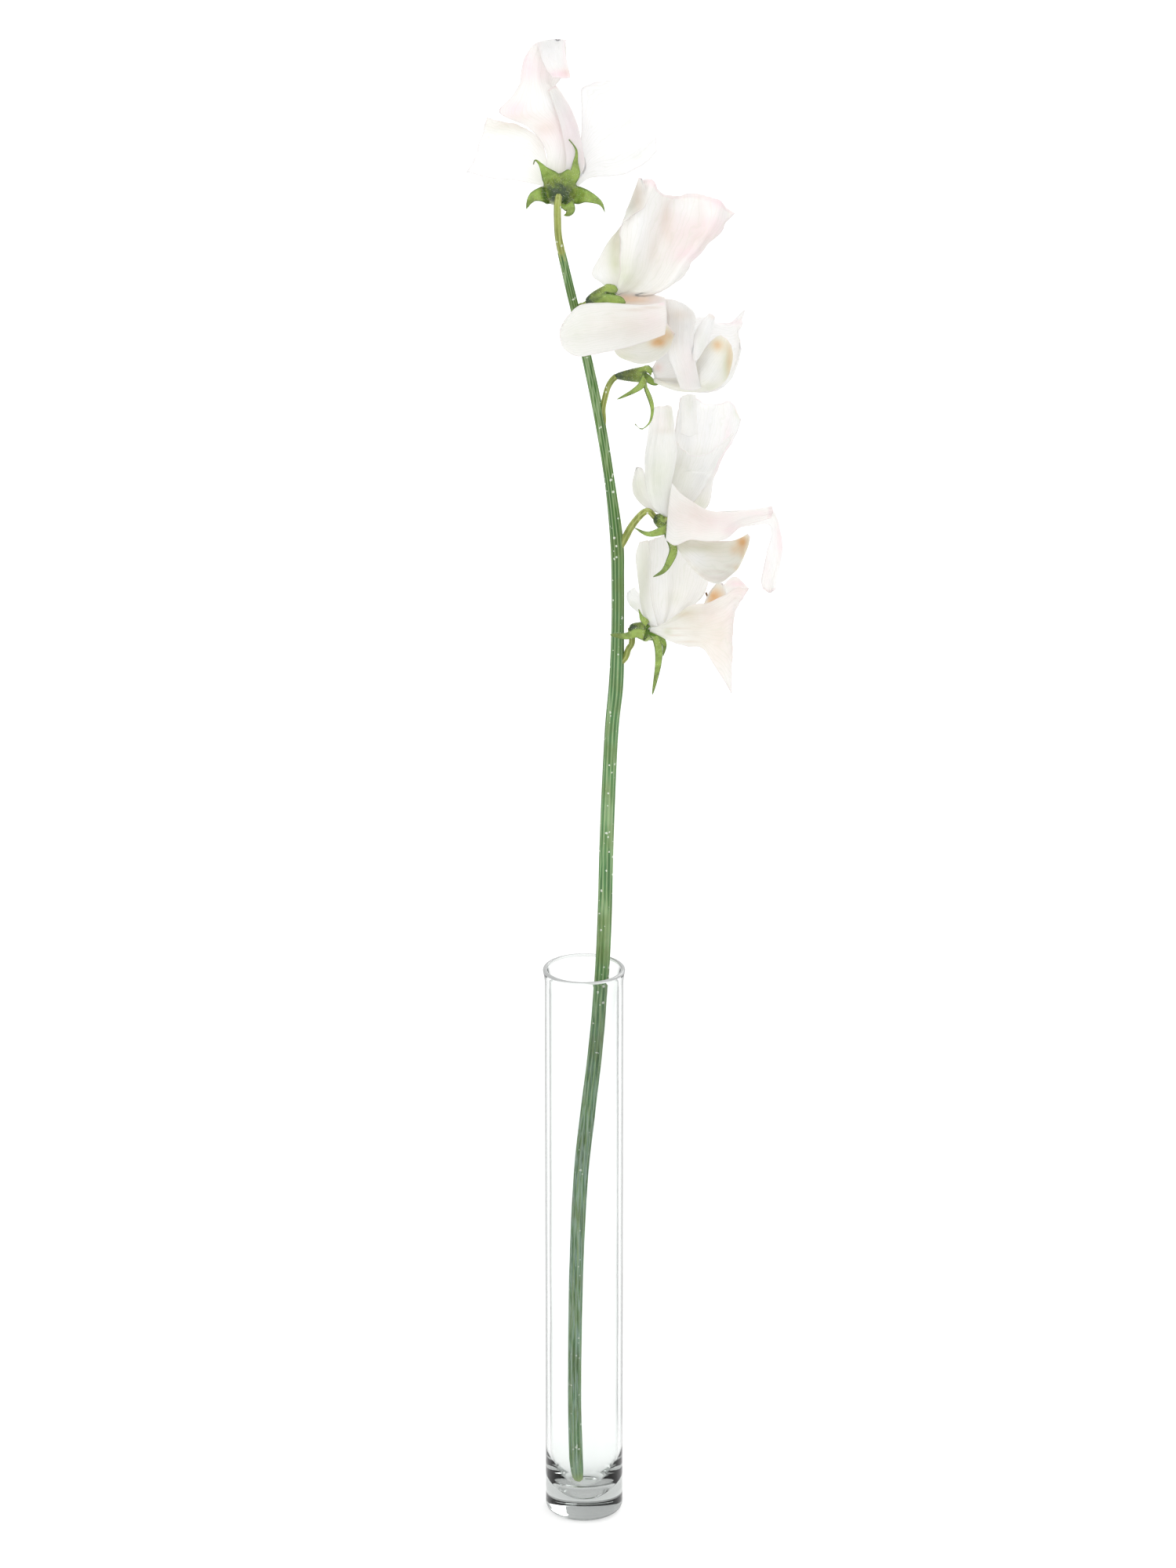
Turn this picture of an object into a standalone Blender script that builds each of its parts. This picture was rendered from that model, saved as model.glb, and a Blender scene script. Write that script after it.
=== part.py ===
"""A cut sweet pea stem with five florets, standing in a slim clear glass cylinder vase.

Frame: metres, +Z up, origin at the middle of the vase's flat base. The florets lean out towards +X,
and -Y is the front. Every floret hangs under an empty of its own, turned so that its petals face
a viewer who looks slightly down from the front: in a floret's frame x runs across, y away from
the front and z up, in millimetres. The florets are numbered from the lowest to the top one.
"""
import math

import bmesh
import bpy
from mathutils import Euler, Vector

MM = 0.001

# vase
VASE_RADIUS = 11.0
VASE_HEIGHT = 166.0
VASE_WALL = 1.3
VASE_FLOOR = 4.7          # glass under the middle of the round bottom
VASE_BOWL_DEPTH = 15.0    # from the end of the straight bore down to the floor
VASE_FOOT_ROUND = 1.3
VASE_LIP_FLARE = 0.5
VASE_LIP_HEIGHT = 5.0
VASE_LIP_START = 2.0      # below the rim, where the flare has reached two fifths
VASE_SEGMENTS = 32

# green parts
STEM_TIP_RADIUS = 0.5
PEDICEL_GAP = 0.6         # from a pedicel's end to the middle of the calyx's wall
SEPAL_THICKNESS = 0.4
SEPALS = 5
STEPS_PER_SEPAL = 4
SEPAL_ROWS = 4
SEPAL_TAPER = 0.7         # power with which a sepal's width falls to its tip
SEPAL_KEEL = 0.12         # height of a sepal's midrib, as a share of its width

# petals
PETAL_THICKNESS = 0.4
PETAL_ACROSS = 6
PETAL_ALONG = 7
MARGIN_ROUND = 0.22       # share of a petal's length over which its corners are rounded off
NARROWEST = 0.72          # width left at the very margin, as a share

FLORET_LEAN = math.radians(-20.2)

GLASS = ("clear glass", (0.95, 0.97, 0.96), 0.03)
STEM_GREEN = ("stem green", (0.13, 0.24, 0.11), 0.5)
PEDICEL_GREEN = ("pedicel green", (0.33, 0.40, 0.12), 0.5)
CALYX_GREEN = ("calyx green", (0.22, 0.37, 0.09), 0.5)
PETAL_WHITE = ("white petal", (0.86, 0.84, 0.80), 0.6)
KEEL_CREAM = ("cream keel", (0.80, 0.74, 0.52), 0.6)
STYLE_BROWN = ("brown style", (0.22, 0.10, 0.05), 0.6)

# The stem's centre line and radius, from the cut end up: (x, y, z, radius) in millimetres.
STEM = [
    (-2.0, 0.0, 5.6, STEM_TIP_RADIUS), (-2.1, 0.1, 9.0, 1.8), (-2.7, 1.0, 35.6, 1.85),
    (-2.2, 2.6, 73.7, 1.95), (-0.9, 3.6, 101.3, 2.05), (1.1, 4.2, 121.0, 2.05),
    (3.3, 4.7, 139.8, 2.0), (4.8, 5.2, 158.5, 1.95), (5.7, 6.2, 176.9, 1.95),
    (6.4, 8.0, 204.0, 1.9), (7.6, 9.0, 232.0, 1.85), (8.9, 9.0, 247.1, 1.95),
    (9.3, 9.0, 263.1, 1.7), (9.3, 9.0, 277.6, 1.7), (9.0, 9.0, 288.0, 1.75),
    (7.1, 9.0, 304.7, 1.35), (4.1, 8.0, 324.2, 1.35), (0.0, 7.0, 344.5, 1.25),
    (-3.4, 6.0, 359.1, 1.15), (-6.0, 5.6, 370.8, 1.05),
]

# Florets: where each one's frame stands, its pedicel (world millimetres, with radii), its calyx
# and its petals. A calyx is (base, axis, tube length, base radius, rim radius, sepals); a sepal is
# (control point, tip), listed clockwise from the upper front one as seen along the axis.
# A petal is a net of points: one row from claw to margin, in each row edge, middle and edge, or
# five points across a standard.
FLORETS = [
    {
        "at": (17.2, 8.0, 262.3),
        "pedicel": [(11.5, 8.6, 250.0, 0.75), (12.0, 8.3, 254.5, 0.75), (12.9, 7.9, 258.4, 0.8)],
        "calyx": ((-2.2, 0.0, -1.4), (0.956, -0.208, 0.208), 5.2, 1.5, 3.0, [
            ((2.0, -3.0, 4.8), (-2.2, -1.5, 5.8)),
            ((-3.0, -5.6, -1.6), (-10.2, -3.6, -0.4)),
            ((4.4, -3.4, -8.0), (1.5, -3.0, -17.6)),
            ((5.6, 1.2, -3.6), (4.4, 1.4, -7.2)),
            ((6.2, 3.4, 1.6), (6.6, 4.2, 5.6))]),
        "standard": [
            [(3.2, -2.2, 1.2), (3.3, -1.7, 1.7), (3.4, -1.0, 1.9), (3.5, -0.3, 1.7), (3.6, 0.3, 1.2)],
            [(4.4, -2.2, 3.0), (5.0, -1.2, 3.8), (5.6, -0.2, 4.0), (6.3, 0.8, 3.6), (6.9, 1.5, 2.8)],
            [(-0.4, -0.8, 8.0), (3.0, 2.8, 10.0), (6.5, 5.4, 10.5), (9.5, 5.4, 9.0), (11.0, 4.0, 6.0)],
            [(-2.0, 0.0, 15.0), (2.4, 4.8, 17.0), (7.0, 8.2, 18.0), (11.5, 8.2, 16.0), (13.5, 6.0, 11.0)],
            [(-2.8, 1.4, 24.5), (2.5, 6.0, 26.0), (8.5, 10.2, 26.0),
             (13.5, 10.2, 23.0), (15.5, 8.2, 17.0)]],
        "front_wing": [
            [(3.4, -3.0, 0.6), (3.5, -3.2, -0.1), (3.6, -3.0, -0.8)],
            [(8.0, -4.6, 4.6), (8.0, -6.0, 2.4), (7.6, -5.0, 0.4)],
            [(13.5, -7.2, 7.8), (13.0, -10.2, 3.6), (12.0, -8.4, -0.4)],
            [(20.4, -8.2, 8.6), (18.6, -10.6, 3.0), (15.6, -8.6, -4.0)],
            [(27.8, -8.2, 11.6), (24.4, -10.0, 1.0), (23.2, -8.2, -18.6)]],
        "back_wing": [
            [(3.6, 0.4, 0.5), (3.7, 0.6, -0.2), (3.8, 0.4, -0.9)],
            [(8.6, 2.6, 3.2), (8.8, 3.2, 1.2), (8.6, 2.8, -0.8)],
            [(14.0, 4.8, 7.4), (14.0, 6.4, 3.0), (13.4, 5.4, -2.0)],
            [(20.0, 5.4, 10.0), (20.0, 7.6, 4.0), (19.0, 6.2, -4.0)],
            [(27.0, 5.4, 13.6), (25.6, 7.2, 5.5), (23.5, 6.4, -5.5)]],
        "keel": [
            [(4.4, -2.0, -0.8), (4.2, -1.2, -2.0), (4.4, -0.4, -0.8)],
            [(8.5, -3.6, -0.2), (8.5, -0.8, -4.4), (8.5, 2.0, -0.2)],
            [(14.0, -3.6, 2.5), (15.0, -0.8, -2.5), (14.0, 2.2, 2.5)],
            [(18.0, -2.4, 8.0), (20.5, -0.8, 5.0), (18.0, 1.0, 8.0)],
            [(19.4, -1.5, 13.0), (21.2, -0.8, 12.0), (19.4, -0.1, 13.0)]],
    },
    {
        "at": (21.0, 7.0, 293.7),
        "pedicel": [(11.5, 8.8, 288.4, 0.75), (12.8, 8.6, 291.4, 0.75), (14.8, 8.5, 294.8, 0.7),
                    (16.8, 8.6, 296.8, 0.7)],
        "calyx": ((-1.6, 0.8, 1.6), (0.850, -0.350, -0.394), 5.0, 1.4, 2.8, [
            ((2.6, -3.2, 2.6), (0.5, -3.4, 3.6)),
            ((-1.5, -4.2, -4.4), (-7.5, -2.5, -1.0)),
            ((4.8, -3.0, -10.0), (-1.5, -3.4, -14.3)),
            ((5.6, 3.0, -4.0), (8.0, 4.6, -5.4)),
            ((3.4, 2.6, 2.2), (1.0, 3.2, 3.6))]),
        "standard": [
            [(3.8, -2.0, 0.4), (3.9, -1.4, 0.9), (4.0, -0.7, 1.0), (4.1, 0.0, 0.9), (4.2, 0.5, 0.4)],
            [(5.0, -1.8, 2.6), (5.4, -0.8, 3.4), (6.0, 0.3, 3.6), (6.6, 1.2, 3.2), (7.0, 2.0, 2.4)],
            [(-3.6, -0.6, 5.4), (0.0, 3.4, 9.5), (4.5, 5.4, 11.0), (8.5, 5.4, 10.0), (11.0, 4.6, 5.5)],
            [(-6.5, -0.6, 9.0), (-3.0, 4.0, 18.0), (3.8, 8.2, 21.0), (11.5, 9.4, 20.0), (15.5, 8.2, 13.5)],
            [(-7.6, 0.0, 13.0), (-2.6, 4.6, 29.8), (5.0, 9.4, 33.5),
             (19.5, 10.8, 34.0), (21.6, 8.8, 26.0)]],
        "front_wing": [
            [(3.0, -4.9, 10.6), (1.9, -4.9, 3.0), (2.0, -4.9, -5.4)],
            [(7.6, -6.0, 6.4), (6.8, -7.2, 1.0), (6.6, -6.6, -5.4)],
            [(13.0, -8.2, 4.0), (13.0, -10.0, -0.4), (13.0, -9.0, -4.9)],
            [(21.0, -6.8, 3.5), (20.6, -8.4, 0.8), (19.8, -7.8, -3.4)],
            [(29.8, -5.4, 3.9), (30.3, -5.6, 3.0), (29.6, -5.4, 1.9)]],
        "back_wing": [
            [(4.4, 0.4, -0.6), (4.6, 0.6, -1.4), (4.8, 0.4, -2.2)],
            [(13.0, 3.0, 2.6), (13.0, 3.8, -0.6), (12.6, 3.2, -3.6)],
            [(23.0, 6.0, 3.4), (22.6, 7.2, -1.6), (21.6, 6.2, -6.4)],
            [(31.0, 6.2, 2.6), (30.6, 7.6, -4.4), (27.4, 6.4, -12.0)],
            [(33.6, 5.2, -4.6), (32.2, 6.0, -11.6), (29.6, 5.2, -18.8)]],
        "keel": [
            [(5.0, -1.9, -3.0), (4.8, -1.1, -4.2), (5.0, -0.3, -3.0)],
            [(9.5, -4.0, -5.0), (8.0, -1.0, -10.5), (9.5, 2.0, -5.0)],
            [(15.0, -4.2, -6.0), (15.4, -1.0, -15.8), (15.0, 2.2, -6.0)],
            [(20.5, -3.2, -5.0), (21.5, -1.0, -11.0), (20.5, 1.2, -5.0)],
            [(23.4, -1.7, -4.0), (23.9, -1.0, -5.6), (23.4, -0.3, -4.0)]],
    },
    {
        "at": (11.7, 7.0, 336.1),
        "pedicel": [(7.1, 8.4, 322.4, 0.7), (6.6, 8.2, 327.0, 0.7), (7.2, 7.8, 331.8, 0.7),
                    (8.3, 7.3, 335.2, 0.75), (9.6, 7.0, 336.4, 0.8)],
        "calyx": ((0.2, 0.0, 0.0), (0.970, -0.200, -0.100), 6.0, 1.4, 2.6, [
            ((8.2, -2.8, 2.4), (10.0, -3.0, 2.2)),
            ((6.0, -5.6, -4.4), (-2.8, -4.0, -6.6)),
            ((7.6, -2.4, -8.6), (4.6, -1.0, -13.6)),
            ((8.2, 1.2, -2.4), (9.8, 1.8, -3.4)),
            ((8.0, 1.6, 1.4), (9.8, 2.6, 1.4))]),
        "standard": [
            [(6.6, -2.0, 0.2), (6.7, -1.6, 0.7), (6.8, -1.0, 0.9), (6.9, -0.3, 0.7), (7.0, 0.2, 0.2)],
            [(9.0, -1.8, 3.6), (9.6, -0.8, 4.0), (10.4, 0.6, 3.8), (11.2, 1.8, 2.8), (11.8, 2.6, 1.4)],
            [(9.8, 0.6, 9.0), (13.5, 5.4, 9.0), (17.0, 8.8, 7.0), (18.0, 8.8, 3.0), (16.5, 6.8, -1.8)],
            [(10.4, 2.8, 14.0), (16.0, 8.2, 15.5), (22.0, 12.2, 12.0),
             (25.0, 12.2, 6.0), (23.5, 9.4, -2.6)],
            [(11.8, 3.4, 19.6), (20.0, 8.8, 19.4), (26.5, 12.2, 14.0),
             (32.0, 11.4, 17.8), (31.0, 9.4, -2.0)]],
        "front_wing": [
            [(7.0, -2.8, -0.7), (7.1, -2.8, -1.3), (7.2, -2.5, -1.9)],
            [(11.5, -3.8, -1.6), (12.5, -4.4, -2.6), (13.0, -4.0, -3.6)],
            [(13.6, -5.4, 5.0), (16.0, -7.2, 2.0), (18.3, -5.6, -1.0)],
            [(13.4, -4.8, 12.0), (15.8, -7.0, 10.5), (18.0, -5.6, 9.0)],
            [(13.8, -4.0, 18.6), (16.0, -5.4, 19.2), (18.4, -4.4, 17.0)]],
        "back_wing": [
            [(7.2, -0.4, -0.4), (7.3, -0.3, -1.0), (7.4, -0.4, -1.6)],
            [(12.0, 2.4, 0.4), (12.4, 2.6, -0.4), (12.6, 2.4, -1.2)],
            [(16.6, 5.2, 4.2), (18.0, 4.6, 3.4), (19.2, 4.4, 3.2)],
            [(18.2, 6.2, 10.4), (20.4, 5.4, 9.8), (22.4, 5.2, 9.4)],
            [(20.6, 6.8, 15.8), (22.2, 6.2, 16.4), (23.6, 6.2, 14.8)]],
        "keel": [
            [(8.2, -1.9, -1.2), (8.2, -1.2, -2.2), (8.2, -0.7, -1.2)],
            [(14.0, -2.8, 0.5), (14.5, -0.6, -4.0), (14.0, 1.4, 0.5)],
            [(20.0, -2.8, 4.0), (22.0, -0.4, -3.6), (20.0, 2.0, 4.0)],
            [(23.5, -2.2, 9.0), (28.4, -0.2, 3.0), (23.5, 1.8, 9.0)],
            [(26.3, -0.8, 11.2), (28.5, 0.0, 9.5), (26.3, 0.8, 11.2)]],
    },
    {
        "at": (0.7, 6.0, 356.3),
        "pedicel": [(-0.85, 5.95, 355.6, 0.8), (-0.4, 5.95, 355.8, 0.8)],
        "calyx": ((0.0, 0.0, 0.2), (0.960, -0.100, 0.260), 5.8, 1.6, 3.2, [
            ((6.8, -2.6, 3.8), (7.8, -2.6, 3.6)),
            ((9.0, -4.4, 1.2), (12.5, -3.6, 0.4)),
            ((6.2, -0.6, -3.0), (5.0, -0.6, -5.6)),
            ((7.8, 5.2, 0.8), (10.6, 6.2, 0.8)),
            ((6.8, 2.2, 3.8), (7.8, 2.2, 3.6))]),
        "standard": [
            [(6.5, -1.8, 2.2), (6.6, -1.1, 2.9), (6.6, -0.3, 3.1), (6.6, 0.5, 2.9), (6.6, 1.2, 2.2)],
            [(10.0, -2.2, 4.4), (10.2, -1.2, 4.8), (10.6, 0.0, 4.8), (11.0, 1.2, 4.4), (11.3, 2.2, 3.6)],
            [(1.0, -3.6, 8.4), (6.0, 1.4, 10.4), (11.0, 4.6, 10.8), (14.5, 6.0, 8.8), (16.5, 5.4, 5.4)],
            [(6.4, -4.0, 17.5), (9.5, 2.0, 20.0), (16.5, 7.4, 20.0), (23.0, 10.2, 17.5), (25.5, 8.8, 10.8)],
            [(14.2, -3.4, 33.4), (18.5, 2.0, 34.0), (26.0, 8.2, 31.0),
             (34.5, 11.4, 29.4), (42.0, 10.2, 25.8)]],
        "front_wing": [
            [(20.5, -4.2, 0.3), (21.2, -5.2, -4.0), (20.6, -4.4, -8.4)],
            [(14.0, -4.4, -1.6), (14.5, -6.5, -6.5), (14.5, -5.6, -10.6)],
            [(8.5, -4.6, -0.8), (8.0, -9.6, -7.0), (8.0, -8.4, -12.4)],
            [(3.0, -5.6, -1.0), (1.0, -10.4, -7.3), (1.0, -8.6, -13.8)],
            [(-4.0, -8.2, -3.0), (-6.9, -8.8, -8.8), (-4.5, -7.4, -13.6)]],
        "back_wing": [
            [(7.0, 1.2, 1.4), (7.0, 1.4, 0.6), (7.0, 1.2, -0.2)],
            [(12.0, 4.4, 1.2), (12.4, 5.2, -2.5), (12.0, 4.6, -6.5)],
            [(17.5, 6.8, 0.8), (17.6, 8.8, -4.4), (17.0, 7.4, -10.0)],
            [(23.0, 7.0, 0.0), (23.5, 8.8, -4.8), (22.5, 7.4, -10.4)],
            [(27.8, 6.4, -1.4), (28.8, 7.2, -5.0), (27.5, 6.4, -9.0)]],
        "keel": [
            [(7.2, -1.4, 0.2), (7.0, -0.4, -0.8), (7.2, 0.6, 0.2)],
            [(9.0, -3.0, -5.5), (8.2, -0.2, -12.0), (9.0, 2.6, -5.5)],
            [(15.0, -3.2, -7.5), (15.0, -0.2, -15.8), (15.0, 2.8, -7.5)],
            [(21.0, -1.8, -6.3), (22.8, -0.2, -11.0), (21.0, 1.4, -6.3)],
            [(22.6, -0.9, -5.4), (23.8, -0.2, -7.4), (22.6, 0.5, -5.4)]],
    },
    {
        "at": (-6.9, 4.4, 386.9),
        "pedicel": [(-6.2, 5.4, 371.8, 1.0), (-6.9, 4.6, 376.0, 0.95), (-7.1, 3.7, 381.0, 0.95),
                    (-7.1, 2.9, 384.6, 0.95), (-7.0, 3.3, 386.2, 0.9)],
        "calyx": ((0.1, 0.9, 0.0), (0.100, 0.920, 0.370), 5.4, 1.9, 4.4, [
            ((9.1, 3.9, 9.5), (2.5, 5.0, 14.5)),
            ((9.5, 4.0, -0.5), (13.2, 4.0, -5.7)),
            ((4.5, 3.5, -5.5), (2.1, 3.0, -7.6)),
            ((-7.5, 4.0, -1.0), (-8.2, 4.0, -5.5)),
            ((-5.2, 4.2, 10.8), (-6.7, 4.0, 7.8))]),
        "standard": [
            [(-0.9, 4.4, 4.6), (-0.1, 4.3, 4.8), (0.6, 4.3, 4.9), (1.3, 4.3, 4.8), (2.1, 4.4, 4.6)],
            [(-1.6, 6.4, 5.4), (-0.5, 6.2, 5.8), (0.7, 6.1, 6.0), (1.9, 6.2, 5.8), (3.0, 6.4, 5.4)],
            [(-4.4, 8.2, 8.0), (-2.4, 7.5, 8.6), (1.0, 7.0, 9.0), (4.2, 7.5, 8.8), (6.8, 8.2, 8.0)],
            [(-18.6, 11.0, 17.5), (-10.5, 8.5, 17.0), (-2.0, 7.4, 17.4),
             (2.6, 7.8, 18.0), (5.4, 9.0, 17.4)],
            [(-15.4, 10.0, 24.0), (-10.0, 8.6, 26.5), (-3.4, 8.0, 27.4),
             (0.2, 8.0, 27.6), (2.6, 9.0, 27.4)],
            [(-9.6, 10.5, 37.0), (-7.4, 9.6, 38.0), (-3.6, 9.0, 38.6), (0.2, 9.0, 38.4), (2.9, 9.6, 37.6)],
            [(-6.6, 11.0, 41.6), (-4.6, 10.6, 42.4), (-2.0, 10.4, 42.8),
             (0.6, 10.6, 42.8), (2.3, 11.0, 42.2)]],
        "right_wing": [
            [(3.9, 5.3, 2.9), (4.1, 5.3, 2.1), (4.1, 5.3, 1.3)],
            [(5.6, 11.0, 9.0), (7.5, 11.5, 6.5), (8.5, 11.0, 3.4)],
            [(5.2, 13.0, 18.0), (12.5, 14.5, 14.5), (16.5, 13.5, 4.6)],
            [(5.5, 14.0, 28.0), (17.0, 15.5, 25.0), (23.6, 15.0, 8.5)],
            [(9.0, 14.5, 33.0), (19.0, 15.5, 29.5), (25.8, 15.0, 15.0)]],
        "left_wing": [
            [(-2.7, 5.5, 1.3), (-2.7, 5.5, 2.1), (-2.5, 5.5, 2.9)],
            [(-5.6, 11.0, 4.0), (-5.2, 11.8, 7.0), (-4.0, 11.5, 10.0)],
            [(-14.5, 13.2, 7.4), (-14.0, 15.0, 12.5), (-10.0, 14.4, 17.5)],
            [(-22.0, 13.6, 6.6), (-21.5, 15.0, 13.0), (-18.0, 14.4, 20.0)],
            [(-24.6, 13.4, 8.4), (-24.8, 14.4, 13.6), (-22.5, 14.0, 18.6)]],
        "keel": [
            [(-0.5, 6.7, -0.9), (0.7, 6.6, -1.4), (1.9, 6.7, -0.9)],
            [(-2.2, 13.0, 3.6), (0.6, 13.0, -1.0), (3.4, 13.0, 3.6)],
            [(-2.6, 19.0, 8.0), (0.6, 20.0, 0.5), (3.8, 19.0, 8.0)],
            [(-1.6, 23.0, 12.0), (0.6, 26.0, 6.0), (2.8, 23.0, 12.0)],
            [(-0.4, 24.0, 14.4), (0.6, 25.6, 12.0), (1.6, 24.0, 14.4)]],
    },
]

# The brown thread that stands above the lowest floret's keel, in that floret's frame.
STYLE = [(18.4, -0.8, 8.9, 0.25), (16.9, -0.8, 9.4, 0.25), (16.3, -0.8, 10.6, 0.25)]


def clear_scene():
    for old in list(bpy.data.objects):
        bpy.data.objects.remove(old, do_unlink=True)


def material(finish):
    """A Principled material named after the finish, made once."""
    name, colour, roughness = finish
    made = bpy.data.materials.get(name)
    if made is None:
        made = bpy.data.materials.new(name)
        made.use_nodes = True
        made.diffuse_color = (*colour, 1.0)
        shader = made.node_tree.nodes["Principled BSDF"]
        shader.inputs["Base Color"].default_value = (*colour, 1.0)
        shader.inputs["Roughness"].default_value = roughness
        if finish is GLASS:
            shader.inputs["Transmission Weight"].default_value = 1.0
    return made


def add_object(name, data, finish, parent=None):
    piece = bpy.data.objects.new(name, data)
    bpy.context.scene.collection.objects.link(piece)
    data.materials.append(material(finish))
    piece.parent = parent
    return piece


def smooth_through(points, t):
    """The point at t, from 0 to 1, of a smooth curve through the points (Catmull-Rom)."""
    spans = len(points) - 1
    place = min(max(t, 0.0), 1.0) * spans
    i = min(int(place), spans - 1)
    f = place - i
    p1, p2 = points[i], points[i + 1]
    p0 = points[i - 1] if i > 0 else p1 * 2 - p2
    p3 = points[i + 2] if i + 2 <= spans else p2 * 2 - p1
    return 0.5 * (p1 * 2 + (p2 - p0) * f + (p0 * 2 - p1 * 5 + p2 * 4 - p3) * f ** 2
                  + (p1 * 3 - p0 - p2 * 3 + p3) * f ** 3)


def tube(name, route, finish, steps, parent=None, resolution=2):
    """A round rod along a smooth route of (x, y, z, radius), with filled ends."""
    stops = [Vector(stop) for stop in route]
    curve = bpy.data.curves.new(name, "CURVE")
    curve.dimensions = "3D"
    curve.bevel_depth = MM
    curve.bevel_resolution = resolution
    curve.use_fill_caps = True
    spline = curve.splines.new("POLY")
    spline.points.add(steps)
    for i, point in enumerate(spline.points):
        x, y, z, radius = smooth_through(stops, i / steps)
        point.co = (x * MM, y * MM, z * MM, 1.0)
        point.radius = radius
    return add_object(name, curve, finish, parent)


def vase_profile():
    """The glass wall's outline, from the middle of the base round to the bowl's lowest point."""
    foot, lip = VASE_FOOT_ROUND, VASE_LIP_FLARE
    bore = VASE_RADIUS - VASE_WALL
    outline = [(0.0, 0.0), (VASE_RADIUS * 0.5, 0.0)]
    for k in range(4):
        turn = math.radians(30 * k)
        outline.append((VASE_RADIUS - foot + foot * math.sin(turn), foot - foot * math.cos(turn)))
    neck = VASE_HEIGHT - VASE_LIP_HEIGHT
    outline += [(VASE_RADIUS, VASE_HEIGHT * f) for f in (0.3, 0.6)]
    outline += [(VASE_RADIUS, neck), (VASE_RADIUS + lip * 0.4, VASE_HEIGHT - VASE_LIP_START)]
    middle = bore + lip + VASE_WALL / 2
    for k in range(5):
        turn = math.radians(45 * k)
        outline.append((middle + VASE_WALL / 2 * math.cos(turn),
                        VASE_HEIGHT - VASE_WALL / 2 * (1 - math.sin(turn))))
    outline += [(bore + lip * 0.4, VASE_HEIGHT - VASE_LIP_START), (bore, neck)]
    outline += [(bore, VASE_HEIGHT * f) for f in (0.6, 0.3)]
    for k in range(7):
        turn = math.radians(15 * k)
        outline.append((bore * math.cos(turn),
                        VASE_FLOOR + VASE_BOWL_DEPTH * (1 - math.sin(turn))))
    return outline


def make_vase():
    work = bmesh.new()
    line = [work.verts.new((max(r, 0.0) * MM, 0.0, z * MM)) for r, z in vase_profile()]
    edges = [work.edges.new(pair) for pair in zip(line, line[1:])]
    bmesh.ops.spin(work, geom=line + edges, cent=(0, 0, 0), axis=(0, 0, 1),
                   angle=math.tau, steps=VASE_SEGMENTS, use_merge=True)
    bmesh.ops.remove_doubles(work, verts=work.verts, dist=0.01 * MM)
    bmesh.ops.recalc_face_normals(work, faces=work.faces)
    mesh = bpy.data.meshes.new("vase")
    work.to_mesh(mesh)
    work.free()
    mesh.shade_smooth()
    mesh.set_sharp_from_angle(angle=math.radians(35))
    return add_object("vase", mesh, GLASS)


def sheet_object(name, work, finish, parent, thickness):
    """Turns an open sheet into an object whose Solidify modifier gives it its thickness."""
    bmesh.ops.recalc_face_normals(work, faces=work.faces)
    mesh = bpy.data.meshes.new(name)
    work.to_mesh(mesh)
    work.free()
    mesh.shade_smooth()
    piece = add_object(name, mesh, finish, parent)
    shell = piece.modifiers.new("thickness", "SOLIDIFY")
    shell.thickness = thickness * MM
    shell.offset = 0.0
    return piece


def petal_point(net, across, along):
    """A point of the petal's surface; across runs from -1 to 1 and along from claw to margin."""
    start = 1.0 - MARGIN_ROUND
    if along > start:
        over = (along - start) / MARGIN_ROUND
        across *= max(math.sqrt(max(0.0, 1.0 - over ** 2)), NARROWEST)
    rails = len(net[0])
    row = [smooth_through([Vector(stop[i]) for stop in net], along) for i in range(rails)]
    return smooth_through(row, 0.5 + 0.5 * across)


def make_petal(name, net, finish, parent):
    work = bmesh.new()
    grid = []
    for j in range(PETAL_ALONG + 1):
        along = math.sin(math.pi / 2 * j / PETAL_ALONG) * 0.5 + 0.5 * j / PETAL_ALONG
        grid.append([work.verts.new(petal_point(net, 2 * i / PETAL_ACROSS - 1, along) * MM)
                     for i in range(PETAL_ACROSS + 1)])
    for row, after in zip(grid, grid[1:]):
        for i in range(PETAL_ACROSS):
            work.faces.new((row[i], row[i + 1], after[i + 1], after[i]))
    return sheet_object(name, work, finish, parent, PETAL_THICKNESS)


def ring_directions(axis):
    """Two unit vectors square to the axis: up, and the side that is 90 degrees clockwise."""
    side = axis.cross(Vector((0, 0, 1))).normalized()
    return side.cross(axis).normalized(), side


def add_sepal(work, rim, outward, control, tip):
    """One tapering sepal on five rim points, along a bent path to its tip."""
    root = rim[len(rim) // 2].co.copy()
    chord = (rim[-1].co - rim[0].co)
    control, tip = Vector(control) * MM, Vector(tip) * MM
    before = rim
    for r in range(1, SEPAL_ROWS + 1):
        t = r / SEPAL_ROWS
        centre = root * (1 - t) ** 2 + control * (2 * t * (1 - t)) + tip * t ** 2
        if r == SEPAL_ROWS:
            point = work.verts.new(centre)
            for a, b in zip(before, before[1:]):
                work.faces.new((a, b, point))
            return
        run = ((control - root) * (1 - t) + (tip - control) * t).normalized()
        width = chord - run * chord.dot(run)
        half = width.normalized() * chord.length * 0.5 * (1 - t) ** SEPAL_TAPER
        keel = outward * chord.length * SEPAL_KEEL * (1 - t)
        row = [work.verts.new(centre + half * (k - 1) + keel * (1 - abs(k - 1))) for k in range(3)]
        if len(before) == 5:
            work.faces.new((before[0], before[1], row[0]))
            work.faces.new((before[1], before[2], row[1], row[0]))
            work.faces.new((before[2], before[3], row[2], row[1]))
            work.faces.new((before[3], before[4], row[2]))
        else:
            for k in range(2):
                work.faces.new((before[k], before[k + 1], row[k + 1], row[k]))
        before = row


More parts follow.
